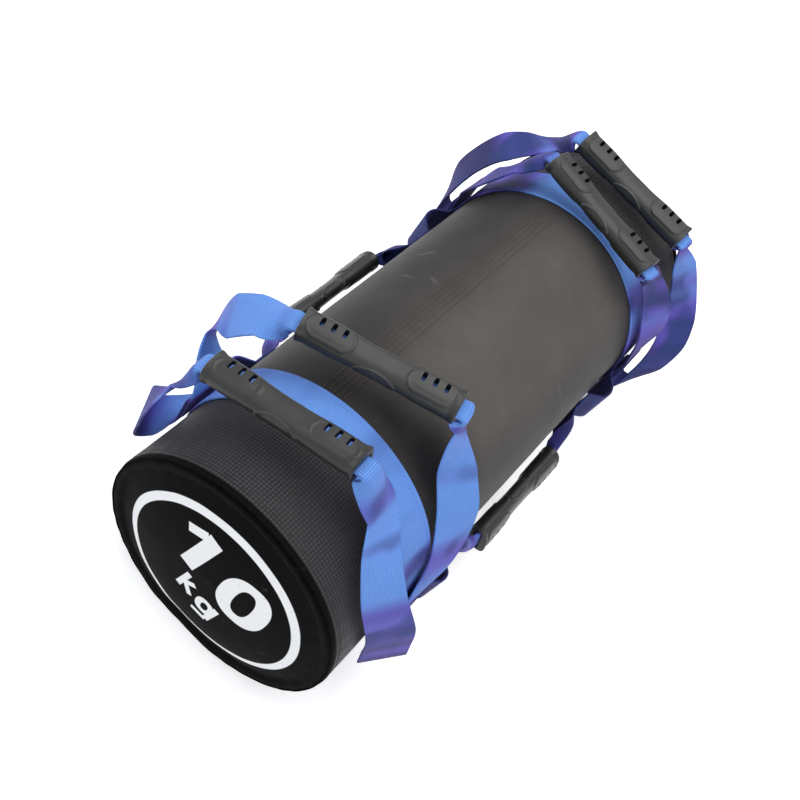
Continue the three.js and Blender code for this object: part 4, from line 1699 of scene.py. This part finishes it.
@dataclass
class GripMould:
    """The grip sleeve's shape, made once and placed six times."""

    sides: int = 96
    stations: int = 200
    waist_shares: tuple = (0.14, 0.62)
    flare_shares: tuple = (0.9, 1.0)
    lip_share: float = 0.985
    lip_round: float = 0.7
    bulges: tuple = (0.92, 0.5)
    pad_edge: tuple = (-0.5, 0.4)
    pad_dish_edge: tuple = (1.5, 2.3)
    pad_dish: float = 0.35
    boss_edge: tuple = (-1.05, -0.96)
    boss_dish_edge: tuple = (-0.88, -0.78)
    boss_dish: float = 0.4
    mouth_past: float = 3.0
    mouth_depths: tuple = (1.2, 3.2)
    mouth_share: float = 0.4
    channel_mouth: float = 1.3
    channel_flat: float = 0.8
    slit_mouth: float = 0.5
    channel_corner: float = 1.2
    slit_half: float = 0.4
    slot_reach: float = 14.0
    sharp_angle: float = 38.0

    def __post_init__(self) -> None:
        """Makes the sleeve's mesh."""
        self.mesh = self.cut(self.body())

    def ring(self, share: float) -> np.ndarray:
        """One ring of the sleeve, without pads and boss.

        Args:
            share: place along the sleeve, from -1 to 1.

        Returns:
            (sides, 3) places in mm: along, towards the spine, and across.
        """
        away = abs(share)
        swell = float(smooth(away, *self.waist_shares))
        flare = GRIP_FLARE * float(smooth(away, *self.flare_shares))
        edge = max(0.0, (away - self.lip_share) / (1 - self.lip_share))
        tuck = self.lip_round * (1 - math.sqrt(max(0.0, 1 - edge ** 2)))
        half_width = (GRIP_WAIST_WIDTH + (GRIP_WIDTH - GRIP_WAIST_WIDTH) * swell + flare) / 2 - tuck
        half_thick = (GRIP_WAIST_THICK + (GRIP_THICK - GRIP_WAIST_THICK) * swell + flare) / 2 - tuck
        angle = TAU * (np.arange(self.sides) + 0.5) / self.sides
        across, up = np.cos(angle), np.sin(angle)
        power = np.where(across > 0, *self.bulges)
        y = np.sign(across) * np.abs(across) ** power * half_width
        z = np.sign(up) * np.abs(up) ** power * half_thick
        return np.stack([np.full(self.sides, share * GRIP_LENGTH / 2), y, z], -1)

    def body(self) -> bpy.types.Object:
        """The sleeve without its openings, with raised pads and boss.

        Returns:
            The sleeve.
        """
        shares = np.linspace(-1, 1, self.stations)
        rings = np.array([self.ring(share) for share in shares])
        x, y, z = np.moveaxis(rings, -1, 0)
        straight = (PAD_LENGTH - PAD_WIDTH) / 2
        pad = np.minimum(*(np.hypot(np.maximum(np.abs(x - end * PAD_CENTRE) - straight, 0), y) - PAD_WIDTH / 2
                           for end in (-1, 1)))
        pad_rise = smooth(-pad, *self.pad_edge) * PAD_RISE - smooth(-pad, *self.pad_dish_edge) * self.pad_dish
        ellipse = np.hypot(x / (BOSS_LENGTH / 2), z / (BOSS_WIDTH / 2))
        boss_rise = smooth(-ellipse, *self.boss_edge) * BOSS_RISE
        boss_rise -= smooth(-ellipse, *self.boss_dish_edge) * self.boss_dish
        rise = np.maximum(pad_rise, boss_rise * (y > 0))
        rings = rings + unit(rings * (0, 1, 1.3)) * rise[:, :, None]
        return loft_object("grip_mould", rings, shares * GRIP_LENGTH / 2, np.arange(self.sides + 1.0))

    def channel(self, grow: float) -> np.ndarray:
        """Outline of the webbing's channel.

        Args:
            grow: growth of its half width in mm.

        Returns:
            (n, 2) points in mm.
        """
        corner = self.channel_corner
        x = CHANNEL_WIDTH / 2 + GAP + grow - corner
        y = CHANNEL_THICK / 2 + GAP + grow * self.channel_flat - corner
        points = []
        for cx, cy, start in ((x, y, 0), (-x, y, 90), (-x, -y, 180), (x, -y, 270)):
            for angle in np.radians(start + 30 * np.arange(4)):
                points.append((cx + corner * math.cos(angle), cy + corner * math.sin(angle)))
        return np.array(points)

    def slit(self, grow: float) -> np.ndarray:
        """Outline of the closing slit.

        Args:
            grow: growth of its half width in mm.

        Returns:
            (n, 2) points in mm.
        """
        half = self.slit_half + grow
        return np.array([(-GRIP_WIDTH, -half), (0, -half), (0, half), (-GRIP_WIDTH, half)])

    @staticmethod
    def slot(grow: float) -> np.ndarray:
        """Outline of a slot.

        Args:
            grow: growth of its half width in mm.

        Returns:
            (n, 2) points in mm.
        """
        half, straight = SLOT_WIDTH / 2 + grow, (SLOT_LENGTH - SLOT_WIDTH) / 2
        angles = np.radians(np.arange(0, 181, 22.5))
        top = np.stack([half * np.cos(angles), straight + half * np.sin(angles)], -1)
        return np.vstack([top, -top])

    @staticmethod
    def prism(name: str, outline: Callable[[float], np.ndarray], levels: Sequence, order: Sequence[int],
              shift: Sequence[float] = (0, 0, 0)) -> bpy.types.Object:
        """A closed cutter: its outline at each level, grown by the level's amount.

        Args:
            name: name of the cutter.
            outline: gives (n, 2) points grown by an amount.
            levels: (place, amount) rows along the cutter.
            order: which of level, first and second coordinate become x, y and z.
            shift: move of the cutter in mm.

        Returns:
            The cutter object.
        """
        rings = []
        for at, grow in levels:
            flat = outline(grow)
            rings.append(np.column_stack([np.full(len(flat), at), flat])[:, order] + shift)
        rings = np.array(rings)
        return loft_object(name, rings, np.arange(len(rings), dtype=float), np.arange(rings.shape[1] + 1.0))

    def cut(self, obj: bpy.types.Object) -> bpy.types.Mesh:
        """Cuts the channel, the closing slit and the slots.

        Args:
            obj: the sleeve, which is used up.

        Returns:
            The mesh.
        """
        half = GRIP_LENGTH / 2
        lead, taper = self.mouth_depths
        cutters = []
        for name, outline, mouth in (("channel", self.channel, self.channel_mouth),
                                     ("slit", self.slit, self.slit_mouth)):
            ends = ((half + self.mouth_past, mouth), (half, mouth), (half - lead, mouth * self.mouth_share),
                    (half - taper, 0.0))
            levels = [(-at, grow) for at, grow in ends] + list(reversed(ends))
            cutters.append(self.prism(name, outline, levels, (0, 1, 2)))
        for x in SLOT_PLACES:
            levels = ((-self.slot_reach, 0.0), (self.slot_reach, 0.0))
            cutters.append(self.prism("slot", self.slot, levels, (1, 2, 0), (x, SLOT_Y, 0)))
        for cutter in cutters:
            modifier = obj.modifiers.new(cutter.name, "BOOLEAN")
            modifier.operation, modifier.solver, modifier.object = "DIFFERENCE", "EXACT", cutter
            mesh = bpy.data.meshes.new_from_object(obj.evaluated_get(bpy.context.evaluated_depsgraph_get()))
            obj.modifiers.clear()
            obj.data = mesh
            bpy.data.objects.remove(cutter)
        bpy.data.objects.remove(obj)
        shade_smooth(mesh, self.sharp_angle)
        return mesh

    def place(self, name: str, pose: GripPose, body: Body) -> bpy.types.Object:
        """Puts a copy of the sleeve on its place.

        Args:
            name: name of its loop.
            pose: where it sits.
            body: body that it rides.

        Returns:
            The sleeve.
        """
        mesh = self.mesh.copy()
        mesh.name = f"{name}_sleeve"
        turn = Matrix(pose.axes().T.tolist()).to_4x4()
        mesh.transform(Matrix.Translation(Vector(pose.centre_mm() * MM)) @ turn)
        return dress(link_object(mesh.name, mesh), RUBBER, f"{name}_grip", body)


@dataclass
class TopLoop:
    """A carrying loop: webbing from one flank through its grip to the other flank.

    The rows of right and left are places of the two legs, from the sewn end to the grip: x, y and z
    in shares of the bag's radius, x outwards, and the direction of the webbing's width. The layer
    counts the webbing sewn under it, leaves is 1 where the leg leaves upwards and -1 where it
    leaves downwards, and pressed is true where the webbing swells into the grip's slots.
    """

    name: str
    body: Body
    y: float
    layer: int
    leaves: int
    grip: GripPose
    right: tuple
    left: tuple
    pressed: bool = False
    swelling_rings: tuple = ((1.2, 1.0), (5.2, 1.0), (6.1, 0.86), (6.7, 0.55), (6.9, 0.15))
    swelling_half: tuple = (1.15, 3.0)
    swelling_sides: int = 20
    swelling_bulge: float = 0.7
    swelling_uv: tuple = (1.5, 0.4)
    # The swellings in the slots take one fixed tone, near the lit blue of the painted light and shade
    swelling_tone: float = 0.85
    box: tuple = (BOX_REACH, -11.5, 10.5)

    def press_into_slots(self, obj: bpy.types.Object) -> None:
        """Adds the places where the folded webbing swells out into the grip's slots.

        Args:
            obj: the strap, which the swellings join.
        """
        along, spine, across = self.grip.axes()
        around = np.arange(self.swelling_sides) * TAU / self.swelling_sides
        rise = np.sign(np.sin(around)) * np.abs(np.sin(around)) ** self.swelling_bulge
        half_x, half_y = self.swelling_half
        pieces = [obj]
        for centre_x, face in ((x, face) for x in SLOT_PLACES for face in (-1, 1)):
            rings = []
            for height, share in self.swelling_rings:
                x = centre_x + half_x * share * np.cos(around)
                y = SLOT_Y + half_y * share * rise
                flat = self.grip.centre_mm() + np.outer(x, along) + np.outer(y, spine)
                rings.append(flat + across * face * height)
            rings = np.array(rings)
            u, v = (np.arange(count) * step
                    for count, step in zip((len(rings), self.swelling_sides + 1), self.swelling_uv))
            tone = np.full(rings.shape[:2], self.swelling_tone)
            pieces.append(loft_object("swelling", rings, u, v, tone=tone))
        with bpy.context.temp_override(active_object=obj, object=obj, selected_objects=pieces,
                                       selected_editable_objects=pieces):
            bpy.ops.object.join()

    def leg(self, rows: Sequence, side: int) -> list:
        """Places of a leg, from its sewn end on a flank.

        Args:
            rows: the leg's table.
            side: 1 for the right flank, -1 for the left.

        Returns:
            The places.
        """
        under = UNDER_LEAD if self.layer < TOP_LAYER else 0.0
        leave = SEWN_HALF + under
        places = [Place(np.array([side * layer_reach(self.layer), self.y, AXIS_HEIGHT + self.leaves * rise]),
                        np.array([0.0, -1.0, 0.0])) for rise in (under - SEWN_HALF, leave - BEND_LEAD, leave)]
        for x, y, z, *line in rows:
            centre = np.array([0, self.y, AXIS_HEIGHT]) + np.array([side * x, y, z]) * BAG_RADIUS
            places.append(Place(centre, unit(np.array(line, float) * (side, 1, 1))))
        return places

    def build(self, mould: GripMould) -> list:
        """Makes the loop, its grip and its sewn ends' stitches.

        Args:
            mould: the grip sleeve's mould.

        Returns:
            The pieces.
        """
        route = self.leg(self.right, 1) + self.grip.places() + self.leg(self.left, -1)[::-1]
        obj = Ribbon(f"{self.name}_strap", route, self.grip.axes()[1], -1).build()
        if self.pressed:
            self.press_into_slots(obj)
        pieces = [dress(obj, WEBBING, f"{self.name}_webbing", self.body),
                  mould.place(self.name, self.grip, self.body)]
        if self.layer == TOP_LAYER:
            reach = layer_reach(self.layer) + WEB_THICK / 2 - THREAD_SINK
            lines = [[(side * reach, self.y + a, AXIS_HEIGHT + b) for a, b in run]
                     for side in (-1, 1) for run in crossed_box(*self.box)]
            pieces.append(StitchRun(f"{self.name}_stitches", lines, THREAD_BLUE, self.body).build())
        return pieces


@dataclass
class FlankStrap:
    """A strap along one flank: a span at each end and a hand loop with its grip between the tacks."""

    name: str
    side: int
    body: Body
    grip: GripPose
    box: tuple = (6.0, -BOX_REACH, BOX_REACH)
    loop_step: float = 1.6
    loop_out: float = 9.0
    loop_lead: float = 8.0
    loop_fold: float = 0.3

    def place(self, x: float, y: float, fold: float = 0.0) -> Place:
        """A place on the strap's level.

        Args:
            x: distance from the bag's middle plane in mm.
            y: place along the bag in mm.
            fold: fold share.

        Returns:
            The place.
        """
        return Place(np.array([self.side * x, y, FLANK_Z]), np.array([0.0, 0.0, 1.0]), fold)

    def span(self, node: str, band_y: float, tack_y: float) -> list:
        """One span from a band to its tack.

        Args:
            node: its CAD node.
            band_y: place of the band along the bag in mm.
            tack_y: place of the tack in mm.

        Returns:
            The pieces.
        """
        towards = math.copysign(1, tack_y - band_y)
        edge = band_y + towards * (WEB_WIDTH / 2 + SWING_CLEAR)
        start = tack_y - towards * FLANK_SEWN_HALF
        reach, flat, stand = layer_reach(1), layer_reach(0), (start - edge) / 3
        rows = ((reach, band_y - towards * SPAN_TAIL), (reach, edge - towards * BEND_LEAD), (reach, edge),
                (reach + SPAN_STAND, edge + stand), (reach + SPAN_STAND, edge + 2 * stand), (flat, start),
                (flat, start + towards * BEND_LEAD), (flat, tack_y + towards * FLANK_SEWN_HALF))
        obj = Ribbon(f"{node}_strap", [self.place(x, y) for x, y in rows]).build()
        x = self.side * (flat + WEB_THICK / 2 - THREAD_SINK)
        lines = [[(x, tack_y + a, FLANK_Z + b) for a, b in run] for run in crossed_box(*self.box)]
        return [dress(obj, WEBBING, node, Body.BAG),
                StitchRun(f"{node}_stitches", lines, THREAD_BLUE, Body.BAG).build()]

    def build(self, mould: GripMould) -> list:
        """Makes the spans, the hand loop and its grip.

        Args:
            mould: the grip sleeve's mould.

        Returns:
            The pieces.
        """
        pieces = self.span(f"{self.name}_front_span", FRONT_BAND_Y, -FLANK_TACK_Y)
        pieces += self.span(f"{self.name}_rear_span", REAR_BAND_Y, FLANK_TACK_Y)
        start = FLANK_TACK_Y - FLANK_SEWN_HALF - GAP
        leave = start - 2 * BEND_LEAD
        flat = layer_reach(0)
        rear = [self.place(flat, y) for y in (start, leave + BEND_LEAD, leave)]
        rear.append(self.place(flat + self.loop_out, leave - self.loop_lead, self.loop_fold))
        front = [Place(p.centre * (1, -1, 1), p.line, p.fold) for p in reversed(rear)]
        loop = f"{self.name}_flank"
        route = rear + self.grip.places() + front
        obj = Ribbon(f"{loop}_strap", route, self.grip.axes()[1], -1, self.loop_step).build()
        return [*pieces, dress(obj, WEBBING, f"{loop}_webbing", self.body),
                mould.place(loop, self.grip, self.body)]


# Filling
@dataclass
class Filling:
    """What the casing holds.

    A row is a CAD node, its finish and, where a softened copy takes its place, how full that is.
    """

    rows: tuple = (
        ("front_seam_tape", TAPE, None), ("rear_seam_tape", TAPE, None), ("lap_seam_strip", TAPE, None),
        ("padding_jacket", WADDING, 0.9), ("front_padding_disc", WADDING, 0.9),
        ("rear_padding_disc", WADDING, 0.9), ("sand_pouch", NYLON, 0.95), ("pouch_tie", TIE, None),
        ("sand_fill", SAND, None),
    )
    cuts: int = 2
    dimple: float = 0.12
    dimples_per_metre: float = 38.0
    sharp_angle: float = 40.0

    def build(self, nodes: dict) -> list:
        """Makes the pieces, and gives the CAD solids that stay their finish.

        Args:
            nodes: CAD nodes of the frame.

        Returns:
            The pieces.
        """
        pieces = []
        for node, finish, fill in self.rows:
            if fill is None:
                nodes[node].data.materials.clear()
                nodes[node].data.materials.append(finish.material())
            else:
                pieces.append(dress(self.soften(nodes[node], node), finish, node, Body.BAG))
        return pieces

    def soften(self, source: bpy.types.Object, node: str) -> bpy.types.Object:
        """A soft copy of a CAD solid, dimpled inwards.

        Args:
            source: the solid.
            node: its name.

        Returns:
            The copy.
        """
        mesh = source.data.copy()
        mesh.name = f"{node}_soft"
        work = bmesh.new()
        work.from_mesh(mesh)
        bmesh.ops.remove_doubles(work, verts=work.verts, dist=1e-6)
        bmesh.ops.subdivide_edges(work, edges=work.edges, cuts=self.cuts, use_grid_fill=True)
        work.normal_update()
        for vert in work.verts:
            swell = 0.5 + 0.5 * noise.noise(vert.co * self.dimples_per_metre)
            vert.co -= vert.normal * swell * self.dimple * MM
        work.to_mesh(mesh)
        work.free()
        shade_smooth(mesh, self.sharp_angle)
        return link_object(mesh.name, mesh)


# Studio
@dataclass(frozen=True)
class Lamp:
    """A soft rectangular lamp. Lengths are in metres and the power is in watts."""

    name: str
    place: tuple
    size: tuple
    power: float
    colour: tuple = (1.0, 1.0, 1.0)
    aim: tuple = (0.0, 0.0, 0.1)

    def build(self) -> None:
        """Sets the lamp up."""
        data = bpy.data.lights.new(self.name, "AREA")
        data.shape, data.size, data.size_y = "RECTANGLE", *self.size
        data.energy, data.color = self.power, self.colour
        obj = link_object(self.name, data)
        obj.location = self.place
        obj.rotation_euler = (Vector(self.aim) - Vector(self.place)).to_track_quat("-Z", "Y").to_euler()


@dataclass
class Studio:
    """Camera, lamps, floor and world. Lengths are in metres, and the camera's film in mm."""

    place: tuple = (0.0381, -0.5746, 0.7899)
    right: tuple = (0.6982, 0.5860, 0.4113)
    up: tuple = (-0.7141, 0.5290, 0.4585)
    back: tuple = (0.0511, -0.6138, 0.7878)
    focal_px: float = 1093.82
    photo_px: float = 800.0
    film: float = 36.0
    floor_half: float = 4.0
    floor_sink: float = 0.0002
    sky: tuple = (0.93, 0.95, 1.0)
    sky_strength: float = 0.55
    lamps: tuple = (
        Lamp("top", (-0.15, 0.25, 1.7), (1.5, 1.5), 19.0, (1.0, 0.99, 0.97)),
        Lamp("left", (-1.5, -0.7, 1.1), (1.0, 1.2), 6.0, (0.95, 0.97, 1.0)),
        Lamp("front", (0.9, -1.6, 0.9), (1.2, 0.9), 7.0),
    )

    def camera(self) -> None:
        """Sets the camera as it stands in the photograph."""
        data = bpy.data.cameras.new("camera")
        data.sensor_width = self.film
        data.lens = self.focal_px * self.film / self.photo_px
        data.clip_start = 0.01
        obj = link_object("camera", data)
        turn = Matrix((self.right, self.up, self.back)).transposed().to_4x4()
        obj.matrix_world = Matrix.Translation(Vector(self.place)) @ turn
        bpy.context.scene.camera = obj

    def world(self) -> None:
        """Sets up a plain sky that is white to the rays that show the background."""
        world = bpy.data.worlds.new("studio")
        bpy.context.scene.world = world
        world.use_nodes = True
        world.node_tree.nodes.clear()
        graph = Graph(world.node_tree)
        plain = graph.node("ShaderNodeBackground", Color=self.sky, Strength=self.sky_strength)
        white = graph.node("ShaderNodeBackground", Color=(1.0, 1.0, 1.0), Strength=1.0)
        shaders = (seen_rays(graph), plain.outputs[0], white.outputs[0])
        graph.node("ShaderNodeOutputWorld", Surface=graph.fill(graph.node("ShaderNodeMixShader"), shaders))

    def floor(self) -> None:
        """Lays the floor just under the bag."""
        half = self.floor_half
        corners = [(x, y, -self.floor_sink)
                   for x, y in ((-half, -half), (half, -half), (half, half), (-half, half))]
        mesh = bpy.data.meshes.new("floor")
        mesh.from_pydata(corners, [], [(0, 1, 2, 3)])
        mesh.materials.append(FloorFinish().material())
        link_object("floor", mesh)

    def build(self) -> None:
        """Sets everything up."""
        bpy.context.scene.view_settings.view_transform = "Standard"
        self.camera()
        self.world()
        self.floor()
        for lamp in self.lamps:
            lamp.build()


TOP_LOOPS = (
    TopLoop("front_lead", Body.FRONT_LEAD, FRONT_BAND_Y, 3, -1,
            GripPose((-0.4, -0.37, 1.22), (0.95, 0.045, 0.31), (0, -1, -0.1), FRONT_BAND_Y),
            ((1.12, -0.01, -0.24, 0, -1, 0), (1.18, -0.1, -0.34, -0.25, -0.96, -0.05),
             (1.22, -0.26, -0.27, -0.58, -0.8, -0.15), (1.17, -0.34, 0.01, -0.56, -0.82, -0.14),
             (1.1, -0.41, 0.32, -0.5, -0.86, -0.1), (0.88, -0.48, 0.7, -0.45, -0.89, 0.13),
             (0.67, -0.41, 0.92, -0.41, -0.85, 0.33), (0.44, -0.26, 1.1, 0.06, -0.97, 0.23)),
            ((1.12, -0.03, -0.24, -0.1, -0.99, 0), (1.2, -0.14, -0.33, -0.38, -0.92, -0.05),
             (1.27, -0.29, -0.25, -0.44, -0.89, -0.1), (1.25, -0.38, 0.03, -0.44, -0.85, 0.1),
             (1.17, -0.43, 0.35, -0.2, -0.8, 0.5), (1.08, -0.42, 0.7, 0, -0.8, 0.55)), True),
    TopLoop("front_trail", Body.FRONT_TRAIL, FRONT_BAND_Y, 2, 1,
            GripPose((-0.24, 0.4, 1.275), (1.16, 0.28, 0.23), (0, -1, -0.25), FRONT_BAND_Y),
            ((1.05, 0.07, 0.3, -0.1, -0.98, 0.1), (0.99, 0.27, 0.46, -0.28, -0.91, 0.31),
             (0.85, 0.41, 0.7, -0.38, -0.92, 0), (0.62, 0.5, 0.95, -0.46, -0.86, 0.19),
             (0.45, 0.55, 1.2, -0.11, -0.73, 0.67)),
            ((1.09, 0.04, 0.27, 0, -1, 0.1), (1.22, 0.11, 0.33, -0.05, -0.85, 0.5),
             (1.3, 0.17, 0.43, -0.1, -0.65, 0.75), (1.29, 0.18, 0.63, -0.35, -0.78, 0.52),
             (1.22, 0.16, 0.8, -0.52, -0.85, -0.07), (1.07, 0.19, 0.99, -0.5, -0.86, 0.1))),
    TopLoop("rear_lead", Body.REAR_LEAD, REAR_BAND_Y, 2, 1,
            GripPose((-0.01, -0.18, 1.19), (0.989, -0.144, 0.007), (0, -1, 0), REAR_BAND_Y),
            ((1.05, 0.02, 0.3, -0.1, -0.99, 0), (1.01, 0.03, 0.51, -0.25, -0.96, 0.05),
             (0.84, 0, 0.81, -0.45, -0.88, 0.07), (0.68, -0.13, 1.04, -0.2, -0.95, 0.2)),
            ((1.05, -0.06, 0.3, 0, -0.98, 0.15), (0.98, -0.12, 0.5, -0.2, -0.8, 0.5),
             (0.88, -0.11, 0.76, -0.42, -0.59, 0.68))),
    TopLoop("rear_trail", Body.REAR_TRAIL, REAR_BAND_Y, 3, -1,
            GripPose((0.01, 0.405, 1.155), (1, -0.01, -0.007), (0, -1, -0.2), REAR_BAND_Y),
            ((1.11, 0.02, -0.21, -0.1, -0.99, 0), (1.19, 0.12, -0.24, -0.25, -0.97, 0),
             (1.27, 0.33, -0.14, -0.5, -0.86, 0), (1.26, 0.55, 0.07, -0.6, -0.8, -0.03),
             (1.15, 0.66, 0.28, -0.6, -0.79, -0.06), (0.99, 0.7, 0.52, -0.35, -0.93, 0),
             (0.8, 0.67, 0.78, -0.25, -0.95, 0.1), (0.67, 0.57, 0.98, -0.05, -0.86, 0.5)),
            ((1.1, 0, -0.21, 0, -1, 0), (1.17, 0.03, -0.24, -0.1, -0.97, 0.1),
             (1.24, 0.13, -0.12, -0.3, -0.9, 0.2), (1.26, 0.23, 0.12, -0.55, -0.72, 0.4),
             (1.19, 0.3, 0.38, -0.6, -0.72, 0.3), (1.09, 0.34, 0.58, -0.6, -0.79, 0.11),
             (0.94, 0.4, 0.75, -0.62, -0.7, 0.3), (0.8, 0.45, 0.87, -0.5, -0.68, 0.5))),
)
FLANK_STRAPS = (
    FlankStrap("right", 1, Body.RIGHT_FLANK,
               GripPose((1.165, 0.065, -0.33), (0, 1, 0), (-0.3, 0, 0.95), 0.0)),
    FlankStrap("left", -1, Body.LEFT_FLANK,
               GripPose((-1.2, 0.16, -0.32), (0, 1, 0), (0.3, 0, 0.95), 0.0)),
)


def main() -> None:
    """Builds the scene and reports each piece."""
    logging.basicConfig(level=logging.INFO, format="%(name)s: %(message)s")
    Studio().build()
    pieces = []
    for part in (BagCasing(), EndPanel(-1, "front_end", END), EndPanel(1, "rear_end", END_BARE),
                 Band("front_band", FRONT_BAND_Y), Band("rear_band", REAR_BAND_Y)):
        pieces += part.build()
    mould = GripMould()
    for loop in (*TOP_LOOPS, *FLANK_STRAPS):
        pieces += loop.build(mould)
    pieces += Filling().build(frame["nodes"])
    for piece in pieces:
        LOG.info("%s: %d faces", piece.name, len(piece.data.polygons))


if __name__ == "__main__":
    main()
